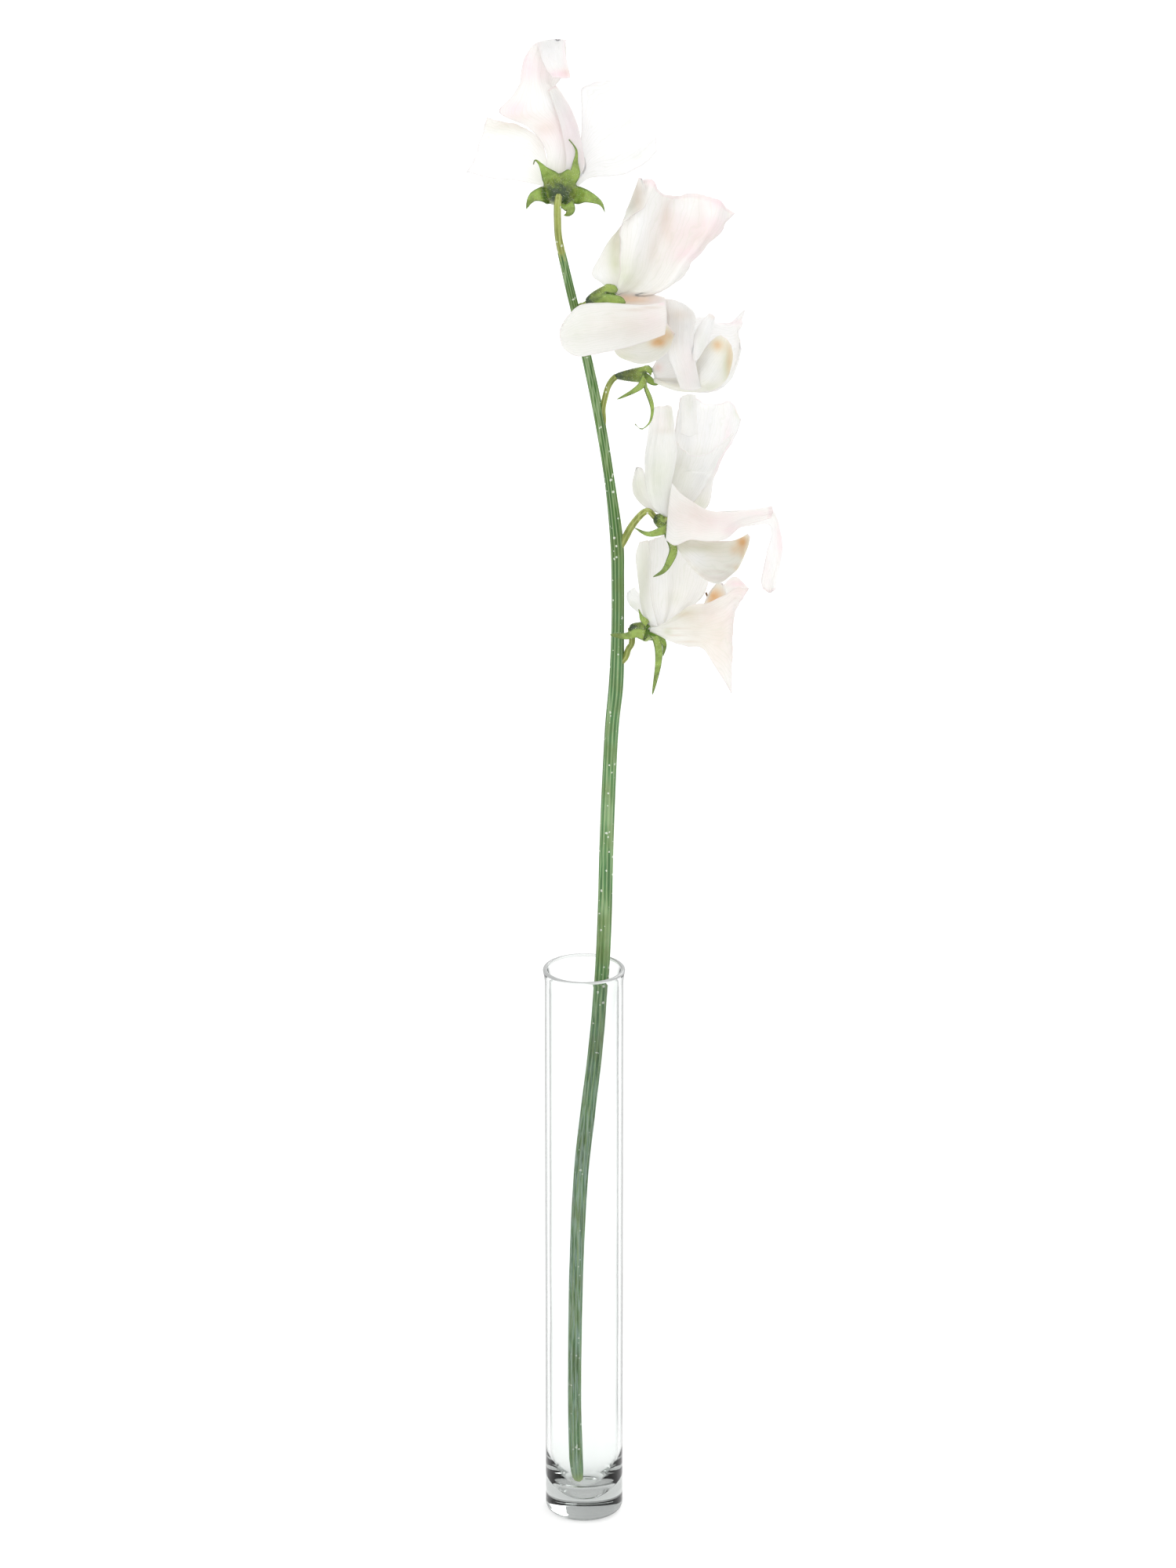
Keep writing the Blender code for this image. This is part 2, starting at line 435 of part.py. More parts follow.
def make_calyx(name, calyx, parent):
    """A small cup with five sepals, closed at the pedicel and open at the throat."""
    base, axis, length, base_radius, rim_radius, sepals = calyx
    base, axis = Vector(base), Vector(axis).normalized()
    up, side = ring_directions(axis)
    count = SEPALS * STEPS_PER_SEPAL
    work = bmesh.new()
    rings = []
    for share, radius in ((0.0, base_radius * 0.6), (0.12, base_radius),
                          (0.5, (base_radius + rim_radius) * 0.55), (1.0, rim_radius)):
        ring = []
        for k in range(count):
            turn = math.tau * k / count
            spoke = up * math.cos(turn) + side * math.sin(turn)
            ring.append(work.verts.new((base + axis * length * share + spoke * radius) * MM))
        rings.append(ring)
    work.faces.new(rings[0])
    for ring, after in zip(rings, rings[1:]):
        for k in range(count):
            m = (k + 1) % count
            work.faces.new((ring[k], ring[m], after[m], after[k]))
    rim = rings[-1]
    for k, (control, tip) in enumerate(sepals):
        first = k * STEPS_PER_SEPAL
        arc = [rim[(first + i) % count] for i in range(STEPS_PER_SEPAL + 1)]
        turn = math.tau * (k + 0.5) / SEPALS
        add_sepal(work, arc, up * math.cos(turn) + side * math.sin(turn), control, tip)
    return sheet_object(name, work, CALYX_GREEN, parent, SEPAL_THICKNESS)


def pedicel_end(floret):
    """Where the pedicel stops, just short of the calyx's base, with its last radius."""
    base, axis = floret["calyx"][:2]
    seat = Vector(base) - Vector(axis).normalized() * PEDICEL_GAP
    seat = Vector(floret["at"]) + Euler((FLORET_LEAN, 0.0, 0.0)).to_matrix() @ seat
    return (*seat, floret["pedicel"][-1][3])


def make_floret(number, floret):
    hub = bpy.data.objects.new(f"floret_{number}_frame", None)
    bpy.context.scene.collection.objects.link(hub)
    hub.location = Vector(floret["at"]) * MM
    hub.rotation_euler = Euler((FLORET_LEAN, 0.0, 0.0))
    name = f"floret_{number}_"
    tube(name + "pedicel", floret["pedicel"] + [pedicel_end(floret)], PEDICEL_GREEN, 8)
    make_calyx(name + "calyx", floret["calyx"], hub)
    for petal in ("standard", "front_wing", "back_wing", "left_wing", "right_wing"):
        if petal in floret:
            make_petal(name + petal, floret[petal], PETAL_WHITE, hub)
    make_petal(name + "keel", floret["keel"], KEEL_CREAM, hub)
    return hub


def main():
    clear_scene()
    make_vase()
    tube("stem", STEM, STEM_GREEN, 40)
    hubs = [make_floret(i + 1, floret) for i, floret in enumerate(FLORETS)]
    tube("floret_1_style", STYLE, STYLE_BROWN, 4, hubs[0], 1)


main()
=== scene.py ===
"""The looks of a cut sweet pea in a slim glass vase: petals, calyces, stem, vase, stage and camera.

Everything is in metres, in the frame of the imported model. Petals and calyces are drawn in
millimetres in the frame of their own floret: x across, y away from the front and z up, and the
frame leans back as the florets do.
"""
import math
from typing import NamedTuple

import bmesh
import bpy
from bpy.props import (FloatProperty, FloatVectorProperty, IntProperty, PointerProperty)
from mathutils import Euler, Matrix, Vector, noise


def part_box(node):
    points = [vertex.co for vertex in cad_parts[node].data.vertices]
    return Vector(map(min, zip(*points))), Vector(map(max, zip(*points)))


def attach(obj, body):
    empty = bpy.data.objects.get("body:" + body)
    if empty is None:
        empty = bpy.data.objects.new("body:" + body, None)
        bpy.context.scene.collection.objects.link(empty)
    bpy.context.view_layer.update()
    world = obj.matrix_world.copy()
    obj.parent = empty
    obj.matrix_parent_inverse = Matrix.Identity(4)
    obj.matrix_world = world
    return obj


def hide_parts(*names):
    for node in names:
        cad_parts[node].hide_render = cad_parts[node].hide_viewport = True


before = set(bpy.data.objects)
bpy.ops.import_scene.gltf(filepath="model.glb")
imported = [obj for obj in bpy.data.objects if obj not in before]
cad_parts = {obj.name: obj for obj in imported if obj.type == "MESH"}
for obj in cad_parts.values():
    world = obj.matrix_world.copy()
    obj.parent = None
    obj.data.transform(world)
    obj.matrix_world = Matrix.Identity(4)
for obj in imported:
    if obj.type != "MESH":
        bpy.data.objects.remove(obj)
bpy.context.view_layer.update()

bl_info = {
    "name": "Sweet Pea in a Bud Vase",
    "version": (1, 0, 0),
    "blender": (4, 5, 0),
    "location": "View3D > Sidebar > Sweet Pea",
    "description": "Makes a cut sweet pea stem with ruffled florets, standing in a glass bud vase",
    "category": "Add Mesh",
}

MM = 0.001
FLORET_LEAN = math.radians(-20.2)
VASE_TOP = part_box("vase")[1].z
LIP_FLARE = 0.0005
VASE_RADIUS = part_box("vase")[1].x - LIP_FLARE

# Between these heights the stem turns to its upper green, the haze of light painted on its lower
# length ends, and the pale core of its cut end gives way to skin.
STEM_TURNS = (0.25, 0.285)
STEM_PAINTED_HAZE = (0.11, 0.16)
STEM_CUT = (0.0065, 0.0105)
# How far, in millimetres, a pedicel's joint in the stem lies below its first stop, how deep its
# end goes into the calyx, and how wide a petal is when its pleats have their full depth.
PEDICEL_SLANT = 3.0
CALYX_SINK = 0.3
PLEATED_WIDTH = 20.0
# From one soft wave of a petal to the next, and from one small wave of its outline to the next,
# in millimetres; how close its pleats stand across and along it; and where its rim begins.
CRINKLE_SIZE = 5.0
FRAY_SIZE = 1.6
PLEATS_ACROSS, PLEATS_ALONG = 3.5, 1.1
RIM_ACROSS, RIM_ALONG = 0.96, 0.97
# A sepal's keel is this share of its width, and it has turned to the front this far along.
SEPAL_KEEL = 0.12
SEPAL_TURNED = 0.625
HAIR_RADIUS = 0.00003

# How finely the shapes are divided.
VASE_SIDES = 128
PUNT_STEPS, FOOT_STEPS, WALL_STEPS, FLARE_STEPS, LIP_STEPS, BOWL_STEPS = 6, 8, 12, 5, 12, 32
STEM_STEPS = 228
PEDICEL_STEPS = 60
STYLE_STEPS = 30
CENTRE_STEPS = 200
CUP_SIDES = 20
SEPAL_ROWS = 4
PETAL_ACROSS = 48
PETAL_ALONG = 60

SEPALS = 5
# pigments: bright is painted light, tan is painted shade, leaf is leaf green and also painted shade
PIGMENTS = ("across", "along", "rim", "bright", "leaf", "blush", "tan", "amber")
STANDARD_AND_WINGS = ("standard", "front_wing", "back_wing", "left_wing", "right_wing")

CAMERA_PLACE = (0.0011, -1.855, 0.903)
CAMERA_TILT = math.radians(69.8)
LENS = 164.6
SENSOR = 36.0
LAMP_SIZE = 0.9
LAMP_AIM = Vector((0.0, 0.0, 0.3))


def linear(colour):
    """An sRGB hex colour as linear red, green and blue."""
    channels = [int(colour[i:i + 2], 16) / 255 for i in (1, 3, 5)]
    return tuple(c / 12.92 if c <= 0.04045 else ((c + 0.055) / 1.055) ** 2.4 for c in channels)


# ---------------------------------------------------------------------------- settings

def length(name, description, default):
    """A setting in metres."""
    return FloatProperty(name=name, description=description, default=default, min=0.0,
                         unit="LENGTH", precision=5)


def colour(name, description, default):
    """A colour setting, with an sRGB hex colour as its default."""
    return FloatVectorProperty(name=name, description=description, default=linear(default),
                               min=0.0, max=1.0, size=3, subtype="COLOR")


class VaseSettings(bpy.types.PropertyGroup):
    height: length("Height", "From the table to the rim", VASE_TOP)
    radius: length("Radius", "Outside radius of the tube", VASE_RADIUS)
    wall: length("Wall", "Thickness of the glass wall", 0.0013)
    base: length("Base", "Glass under the middle of the round bottom", 0.0047)
    bowl: length("Bowl depth", "From the end of the straight bore to the bottom", 0.015)
    foot: length("Foot round", "Radius of the rounded edge at the base", 0.0024)
    punt: length("Punt", "How far the middle of the base is pushed up", 0.0007)
    flare: length("Lip flare", "How far the rim turns out", LIP_FLARE)
    lip: length("Lip height", "How far below the rim the flare begins", 0.005)
    glass: colour("Glass", "Tint of the clear glass", "#FCFEFD")
    # painted shade: the dark grey painted on the wall where it is seen edge on
    edge: colour("Glass edge on", "Tint of the wall where it is seen edge on", "#464A49")


class StemSettings(bpy.types.PropertyGroup):
    ribs: IntProperty(name="Ribs", description="Fine ridges round the stem", default=11, min=3)
    rib_depth: FloatProperty(name="Rib depth", description="Height of a ridge, as a share of the radius",
                             default=0.05, min=0.0, max=0.3, subtype="FACTOR")
    sides: IntProperty(name="Sides", description="Faces round the stem", default=88, min=12)
    low: colour("Green below", "Colour of the stem inside the vase", "#6A9C62")
    high: colour("Green above", "Colour of the stem under the top floret", "#527F2E")
    young: colour("Young green", "Colour of the pedicels", "#B4BE64")


class CalyxSettings(bpy.types.PropertyGroup):
    sepal: length("Sepal thickness", "Thickness of a sepal", 0.00035)
    hair: length("Hair length", "Length of the fine hairs on the calyx", 0.0006)
    hairs: FloatProperty(name="Hairs", description="Hairs on a square metre", default=2.0e6, min=0.0)
    green: colour("Green", "Main colour of the sepals", "#788F3C")
    pale: colour("Pale green", "Thin tissue in the middle of a sepal", "#B2C86A")
    dark: colour("Dark green", "The cup's base, and the sepals' curled edges", "#3E5030")


class PetalSettings(bpy.types.PropertyGroup):
    thickness: length("Thickness", "Thickness of a petal", 0.00025)
    crinkle: length("Crinkle", "Depth of the soft waves over a petal", 0.00035)
    pleat: length("Pleat", "Depth of the long folds that fan out from the claw", 0.0007)
    fray: length("Fray", "Depth of the small waves in a petal's outline", 0.0004)
    white: colour("White", "Main colour of the petals", "#EFECE6")
    # painted light: a whiter colour laid where a petal should glow with light from behind
    bright: colour("Bright white", "The thinnest tissue, which lets most light through", "#FDFDFB")
    blush: colour("Blush", "Pink at the folds and margins", "#F6D0D9")
    # leaf green near the claws; it is also painted as grey-green shade on rolled and overlapped parts
    leaf: colour("Leaf tint", "Grey green near the claws", "#BBC4A6")
    # painted shade: grey brown laid deep in folds and under overlapping petals
    tan: colour("Tan", "Warm grey brown deep in a tight fold", "#CDBBAE")
    keel: colour("Keel cream", "Main colour of the keel", "#F4F1E0")
    amber: colour("Amber", "Orange at the keel's tip", "#DBA26B")


class StageSettings(bpy.types.PropertyGroup):
    floor_size: length("Floor size", "Side of the square floor", 40.0)
    floor: colour("Floor", "Colour of the floor", "#CCCCCC")
    sky: FloatProperty(name="Sky", description="Strength of the light from all round",
                       default=0.95, min=0.0)
    glow: FloatProperty(name="Floor glow", description="Light that comes up through the floor",
                        default=0.45, min=0.0)
    lamps: FloatProperty(name="Lamps", description="Power of the larger soft box in watts",
                         default=8.0, min=0.0)


class SweetPeaSettings(bpy.types.PropertyGroup):
    vase: PointerProperty(type=VaseSettings)
    stem: PointerProperty(type=StemSettings)
    calyx: PointerProperty(type=CalyxSettings)
    petal: PointerProperty(type=PetalSettings)
    stage: PointerProperty(type=StageSettings)


def settings():
    """The add-on's settings in this scene."""
    return bpy.context.scene.sweet_pea


# ---------------------------------------------------------------------------- materials

def fill_inputs(tree, node, inputs):
    """Sets or links inputs of a node; a colour is a hex text or has red, green and blue."""
    for name, value in inputs.items():
        socket = node.inputs[name]
        if isinstance(value, bpy.types.NodeSocket):
            tree.links.new(value, socket)
        elif socket.type == "RGBA":
            rgb = linear(value) if isinstance(value, str) else value
            socket.default_value = (*rgb[:3], 1.0)
        else:
            socket.default_value = value


def add_node(tree, kind, inputs=None, **properties):
    """Adds a node, sets its properties, and sets or links its inputs."""
    made = tree.nodes.new(kind)
    for name, value in properties.items():
        setattr(made, name, value)
    fill_inputs(tree, made, inputs or {})
    return made


def lay_coats(tree, ground, coats):
    """Lays coats of colour over a ground, one after another, and gives the colour of the whole.

    A coat is (pattern, start, end, strength at the start, strength at the end, colour), or just
    (strength, colour).
    """
    for pattern, *scale, over in coats:
        if scale:
            scaled = dict(enumerate((pattern, *scale)))
            pattern = add_node(tree, "ShaderNodeMapRange", scaled).outputs[0]
        mixed = add_node(tree, "ShaderNodeMix", {0: pattern, 6: ground, 7: over}, data_type="RGBA")
        ground = mixed.outputs[2]
    return ground


def new_material(name, viewport):
    """A material, its tree, its Principled shader, and the place on the object as a socket."""
    made = bpy.data.materials.new(name)
    made.use_nodes = True
    made.diffuse_color = (*viewport, 1.0)
    tree = made.node_tree
    place = add_node(tree, "ShaderNodeTexCoord").outputs["Object"]
    return made, tree, tree.nodes["Principled BSDF"], place


def petal_material(name, ground, tip):
    """Living petal tissue: two skins of clear cells over a white, air-filled middle.

    The air scatters light, so a petal glows where light comes from behind and looks greyer
    where petals lie double. The cells swell like tiny domes, which gives a soft satin. Veins fan
    out from the claw, and pigment lies in the skins: blush at margins, leaf green near the claw.
    Over these lies painted light and shade: the bright pigment is painted light where a petal
    should glow, the tan pigment is painted shade deep in folds and under overlapping petals, and
    the leaf green is also painted as grey-green shade on rolled and overlapped parts.
    """
    petal = settings().petal
    made, tree, shader, place = new_material(name, ground)
    pigment = {key: add_node(tree, "ShaderNodeAttribute", attribute_name=key).outputs["Fac"]
               for key in PIGMENTS}
    # soft clouds about 6 mm across break up the pigments
    cloud = add_node(tree, "ShaderNodeTexNoise",
                     {"Vector": place, "Scale": 170.0, "Detail": 2.0}).outputs["Fac"]
    cloud = add_node(tree, "ShaderNodeMapRange",
                     {0: cloud, 1: 0.3, 2: 0.7, 3: 0.65, 4: 1.1}).outputs[0]
    coats = []
    # the bright pigment is painted light and the tan pigment painted shade; leaf is also painted shade in
    # places
    for key, over in (("bright", petal.bright), ("leaf", petal.leaf), ("blush", petal.blush),
                      ("tan", petal.tan), ("amber", tip)):
        share = add_node(tree, "ShaderNodeMath", {0: pigment[key], 1: cloud},
                         operation="MULTIPLY", use_clamp=True).outputs[0]
        coats.append((share, over))
    # veins: about 1.2 mm apart at the margin, drawn twice as wide as they are so that they show
    fan = add_node(tree, "ShaderNodeCombineXYZ",
                   {0: pigment["across"], 1: pigment["along"]}).outputs[0]
    bend = add_node(tree, "ShaderNodeTexNoise",
                    {"Vector": fan, "Scale": 4.0, "Detail": 2.0}).outputs["Fac"]
    bent = add_node(tree, "ShaderNodeMath", {0: bend, 1: 0.35, 2: pigment["across"]},
                    operation="MULTIPLY_ADD").outputs[0]
    wave = add_node(tree, "ShaderNodeMath", {0: bent, 1: 62.0}, operation="MULTIPLY").outputs[0]
    wave = add_node(tree, "ShaderNodeMath", {0: wave}, operation="SINE").outputs[0]
    coats.append((wave, 0.55, 1.0, 0.0, 0.13, petal.leaf))
    # the margin, about 0.4 mm wide, is seen edge on and holds the most pigment
    coats.append((pigment["rim"], 0.0, 1.0, 0.0, 0.5, "#E3C9CC"))
    # cells of 0.05 mm would not show, so the grain of the skin is drawn at 0.4 mm
    grain = add_node(tree, "ShaderNodeTexNoise",
                     {"Vector": place, "Scale": 2500.0, "Detail": 1.0}).outputs["Fac"]
    gloss = add_node(tree, "ShaderNodeMapRange", {0: grain, 3: 0.42, 4: 0.62}).outputs[0]
    height = add_node(tree, "ShaderNodeMath", {0: wave, 1: 0.25, 2: grain},
                      operation="MULTIPLY_ADD").outputs[0]
    bump = add_node(tree, "ShaderNodeBump",
                    {"Strength": 0.25, "Distance": 0.00012, "Height": height}).outputs[0]
    fill_inputs(tree, shader, {
        "Base Color": lay_coats(tree, ground, coats), "Roughness": gloss, "Normal": bump,
        "Specular IOR Level": 0.35, "Subsurface Weight": 0.9,
        "Subsurface Radius": (1.0, 0.95, 0.9), "Subsurface Scale": 0.0012})
    return made


def green_material(name, low, high, pale):
    """Green plant skin: a thin wax over ribbed green tissue, satin and a little translucent.

    The crests are paler and the furrows darker, and small pale flecks are pores and stubs of
    hairs. On the length that stands in the glass, a pale blue-grey haze of light is painted into
    the fibres. The colour warms towards the young growth at the top.
    """
    made, tree, shader, place = new_material(name, low)
    dark = tuple(c * 0.42 for c in low)
    rib = add_node(tree, "ShaderNodeAttribute", attribute_name="rib").outputs["Fac"]
    up = add_node(tree, "ShaderNodeSeparateXYZ", {0: place}).outputs[2]
    # long fibres 0.35 mm wide and 12 mm long, in bundles 1.2 mm wide and 40 mm long
    threads = []
    for size, detail in (((2800.0, 2800.0, 80.0), 2.0), ((850.0, 850.0, 25.0), 1.0)):
        stretched = add_node(tree, "ShaderNodeMapping", {0: place, 3: size}).outputs[0]
        threads.append(add_node(tree, "ShaderNodeTexNoise",
                                {"Vector": stretched, "Scale": 1.0, "Detail": detail}).outputs["Fac"])
    fibre, bundle = threads
    # the sap shows olive in stretches of about 8 mm
    sap = add_node(tree, "ShaderNodeTexNoise",
                   {"Vector": place, "Scale": 120.0, "Detail": 3.0}).outputs["Fac"]
    # painted haze: on the length that stands in the glass the same fibres are painted a pale blue-grey,
    # for light that the glass lays over the stem
    dry = add_node(tree, "ShaderNodeMapRange",
                   {0: up, 1: STEM_PAINTED_HAZE[0], 2: STEM_PAINTED_HAZE[1], 3: 1.0, 4: 0.0}).outputs[0]
    streak = add_node(tree, "ShaderNodeMapRange",
                      {0: fibre, 1: 0.42, 2: 0.54, 3: 0.48, 4: 0.0}).outputs[0]
    painted_haze = add_node(tree, "ShaderNodeMath", {0: dry, 1: streak}, operation="MULTIPLY").outputs[0]
    # flecks, most of them under 0.5 mm across, that come in patches of about 3 mm
    cells = add_node(tree, "ShaderNodeTexVoronoi",
                     {"Vector": place, "Scale": 620.0}).outputs["Distance"]
    patch = add_node(tree, "ShaderNodeTexNoise",
                     {"Vector": place, "Scale": 300.0, "Detail": 1.0}).outputs["Fac"]
    size = add_node(tree, "ShaderNodeMapRange",
                    {0: patch, 1: 0.455, 2: 0.64, 3: 0.0, 4: 0.25}).outputs[0]
    fleck = add_node(tree, "ShaderNodeMath", {0: cells, 1: size}, operation="LESS_THAN").outputs[0]
    # the last coat is the cut end, where the pale core shows
    tone = lay_coats(tree, low, (
        (up, *STEM_TURNS, 0.0, 1.0, high),
        (fibre, 0.35, 0.65, 0.0, 0.5, dark),
        (bundle, 0.5, 0.62, 0.0, 0.6, dark),
        (rib, -1.0, -0.2, 0.5, 0.0, dark),
        (rib, 0.1, 1.0, 0.0, 0.7, pale),
        (bundle, 0.38, 0.47, 0.55, 0.0, pale),
        (sap, 0.45, 0.7, 0.0, 0.5, "#6A7A3C"),
        # painted haze of light on the lower stem in the glass
        (painted_haze, "#B6CCC6"),
        (fleck, 0.0, 1.0, 0.0, 0.8, (0.8, 0.84, 0.74)),
        (up, *STEM_CUT, 0.85, 0.0, "#BFD08E")))
    gloss = add_node(tree, "ShaderNodeMapRange", {0: fibre, 3: 0.37, 4: 0.57}).outputs[0]
    bump = add_node(tree, "ShaderNodeBump",
                    {"Strength": 0.4, "Distance": 0.00012, "Height": fibre}).outputs[0]
    fill_inputs(tree, shader, {
        "Base Color": tone, "Roughness": gloss, "Normal": bump,
        "Specular IOR Level": 0.3, "Subsurface Weight": 0.15,
        "Subsurface Radius": (0.4, 1.0, 0.2), "Subsurface Scale": 0.0006})
    return made


def calyx_material():
    """Calyx skin: leaf tissue thin enough for light to pass, thick and dark where it joins.

    Light comes through the middle of a sepal, so it is a bright yellow green. The curled edges
    and the cup's base are several layers thick and look dark and a little blue.
    """
    calyx = settings().calyx
    made, tree, shader, place = new_material("calyx skin", calyx.green)
    reach, edge = (add_node(tree, "ShaderNodeAttribute", attribute_name=key).outputs["Fac"]
                   for key in ("reach", "edge"))
    # leaf mottle 1.5 mm across
    leaf = add_node(tree, "ShaderNodeTexNoise",
                    {"Vector": place, "Scale": 700.0, "Detail": 3.0}).outputs["Fac"]
    mottle = add_node(tree, "ShaderNodeMapRange",
                      {0: leaf, 1: 0.35, 2: 0.65, 3: -0.22, 4: 0.22}).outputs[0]
    height = add_node(tree, "ShaderNodeMath", {0: reach, 1: mottle}, operation="ADD").outputs[0]
    # sun has turned stretches of about 4 mm olive
    sunned = add_node(tree, "ShaderNodeTexNoise",
                      {"Vector": place, "Scale": 250.0, "Detail": 2.0}).outputs["Fac"]
    # dark at the cup's base, pale in the sepals, dark again at curled edges, and olive at tips
    tone = lay_coats(tree, calyx.green, (
        (sunned, 0.4, 0.62, 0.0, 0.8, "#727C36"),
        (height, 0.12, 0.55, 1.0, 0.0, calyx.dark),
        (height, 0.6, 1.2, 0.0, 0.6, calyx.pale),
        (edge, 0.72, 1.0, 0.0, 0.7, calyx.dark),
        (height, 1.35, 1.95, 0.0, 0.75, "#5B6B33")))
    gloss = add_node(tree, "ShaderNodeMapRange", {0: leaf, 1: 0.35, 2: 0.65, 3: 0.35, 4: 0.5}).outputs[0]
    bump = add_node(tree, "ShaderNodeBump",
                    {"Strength": 0.4, "Distance": 0.0002, "Height": mottle}).outputs[0]
    fill_inputs(tree, shader, {
        "Base Color": tone, "Roughness": gloss, "Normal": bump, "Subsurface Weight": 0.5,
        "Subsurface Radius": (0.6, 1.0, 0.25), "Subsurface Scale": 0.001})
    return made


def glass_material():
    """Soda-lime glass drawn to a tube and fire polished: clear, with a wave too slight to feel."""
    vase = settings().vase
    made, tree, shader, place = new_material("clear soda-lime glass", vase.glass)
    # drawing lines: waves about 4 mm round the tube and 25 mm along it
    drawn = add_node(tree, "ShaderNodeMapping", {0: place, 3: (250.0, 250.0, 40.0)}).outputs[0]
    wave = add_node(tree, "ShaderNodeTexNoise",
                    {"Vector": drawn, "Scale": 1.0, "Detail": 1.0}).outputs["Fac"]
    bump = add_node(tree, "ShaderNodeBump",
                    {"Strength": 0.25, "Distance": 0.00012, "Height": wave}).outputs[0]
    # painted shade: where the wall is seen edge on, its colour is painted dark grey in a line 0.5 mm wide,
    # on the wall above the base
    slant = add_node(tree, "ShaderNodeLayerWeight", {"Blend": 0.5}).outputs["Facing"]
    depth = add_node(tree, "ShaderNodeMapRange", {0: slant, 1: 0.63, 2: 0.8}).outputs[0]
    up = add_node(tree, "ShaderNodeSeparateXYZ", {0: place}).outputs[2]
    wall = add_node(tree, "ShaderNodeMapRange", {0: up, 1: 0.012, 2: 0.03}).outputs[0]
    depth = add_node(tree, "ShaderNodeMath", {0: depth, 1: wall}, operation="MULTIPLY").outputs[0]
    # iron in the melt: 10 mm of glass takes a quarter of the light
    melt = add_node(tree, "ShaderNodeVolumeAbsorption", {"Color": (0.5, 0.52, 0.51), "Density": 58.0})
    fill_inputs(tree, tree.nodes["Material Output"], {"Volume": melt.outputs[0]})
    fill_inputs(tree, shader, {
        "Base Color": lay_coats(tree, vase.glass, [(depth, vase.edge)]), "Roughness": 0.0,
        "Normal": bump, "IOR": 1.5, "Transmission Weight": 1.0, "Specular Tint": (0.3, 0.3, 0.3)})
    return made


def rim_material():
    """The rim, melted round in a flame: light from inside the wall comes out here as a pale glow."""
    made, tree, shader, place = new_material("fire-polished glass rim", settings().vase.glass)
    # the melted edge draws in and swells a little every 6 mm
    swell = add_node(tree, "ShaderNodeTexNoise",
                     {"Vector": place, "Scale": 160.0, "Detail": 1.0}).outputs["Fac"]
    fill_inputs(tree, shader, {
        "Base Color": lay_coats(tree, "#E3E6E5", [(swell, "#FCFDFD")]), "Roughness": 0.08,
        "IOR": 1.5, "Transmission Weight": 0.45})
    return made


def hair_material():
    """A plant hair is one long empty cell, so it looks like a thread of white glass."""
    made, tree, shader, place = new_material("plant hair", linear("#E6ECD9"))
    mottle = add_node(tree, "ShaderNodeTexNoise", {"Vector": place, "Scale": 900.0}).outputs["Fac"]
    tone = lay_coats(tree, "#DDE6C8", [(mottle, "#F2F5E8")])
    fill_inputs(tree, shader, {"Base Color": tone, "Roughness": 0.35})
    return made


def floor_material():
    """Opal white acrylic over a lamp: matt, and lit from below in a strip that widens to the back.

    The strip fills the camera's view with even white. The sheet is darker to both sides, and
    clear glass needs that: its walls show as the grey lines of what lies beside it.
    """
    stage = settings().stage
    made, tree, shader, place = new_material("opal acrylic light table", stage.floor)
    x, y, _ = add_node(tree, "ShaderNodeSeparateXYZ", {0: place}).outputs
    side = add_node(tree, "ShaderNodeMath", {0: x}, operation="ABSOLUTE").outputs[0]
    # in front it is 0.4 m wider to each side, and lights the undersides of the petals
    front = add_node(tree, "ShaderNodeMapRange", {0: y, 1: -0.6, 2: -0.1, 3: -0.4, 4: 0.0}).outputs[0]
    side = add_node(tree, "ShaderNodeMath", {0: side, 1: front}, operation="ADD").outputs[0]
    edge = add_node(tree, "ShaderNodeMath", {0: y, 1: -0.08, 2: side},
                    operation="MULTIPLY_ADD").outputs[0]
    lit = add_node(tree, "ShaderNodeMapRange", {0: edge, 1: 0.19, 2: 0.4, 3: 1.0, 4: 0.0},
                   interpolation_type="SMOOTHSTEP").outputs[0]
    near = add_node(tree, "ShaderNodeMapRange", {0: y, 1: -1.2, 2: -0.7},
                    interpolation_type="SMOOTHSTEP").outputs[0]
    lit = add_node(tree, "ShaderNodeMath", {0: lit, 1: near}, operation="MULTIPLY").outputs[0]
    power = add_node(tree, "ShaderNodeMath", {0: lit, 1: stage.glow, 2: 0.06},
                     operation="MULTIPLY_ADD").outputs[0]
    mottle = add_node(tree, "ShaderNodeTexNoise", {"Vector": place, "Scale": 3.0}).outputs["Fac"]
    tone = lay_coats(tree, stage.floor, [(mottle, 0.0, 1.0, 0.0, 0.02, "#C6C6C6")])
    fill_inputs(tree, shader, {
        "Base Color": tone, "Roughness": 0.9, "Specular IOR Level": 0.0,
        "Emission Color": "#FFFFFF", "Emission Strength": power})
    return made


# ---------------------------------------------------------------------------- shared mesh tools

def smooth_through(points, t):
    """The point at t, from 0 to 1, of a smooth curve through the points (Catmull-Rom)."""
    spans = len(points) - 1
    place = min(max(t, 0.0), 1.0) * spans
    i = min(int(place), spans - 1)
    f = place - i
    p1, p2 = points[i], points[i + 1]
    p0 = points[i - 1] if i > 0 else p1 * 2 - p2
    p3 = points[i + 2] if i + 2 <= spans else p2 * 2 - p1
    return 0.5 * (p1 * 2 + (p2 - p0) * f + (p0 * 2 - p1 * 5 + p2 * 4 - p3) * f ** 2
                  + (p1 * 3 - p0 - p2 * 3 + p3) * f ** 3)


def floret_place(number):
    """The matrix from a floret's own millimetres to the row frame's metres."""
    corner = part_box(f"floret_{number}_calyx")[0]
    return (Matrix.Translation(corner + Vector(FLORETS[number]["at"]) * MM)
            @ Euler((FLORET_LEAN, 0.0, 0.0)).to_matrix().to_4x4() @ Matrix.Scale(MM, 4))


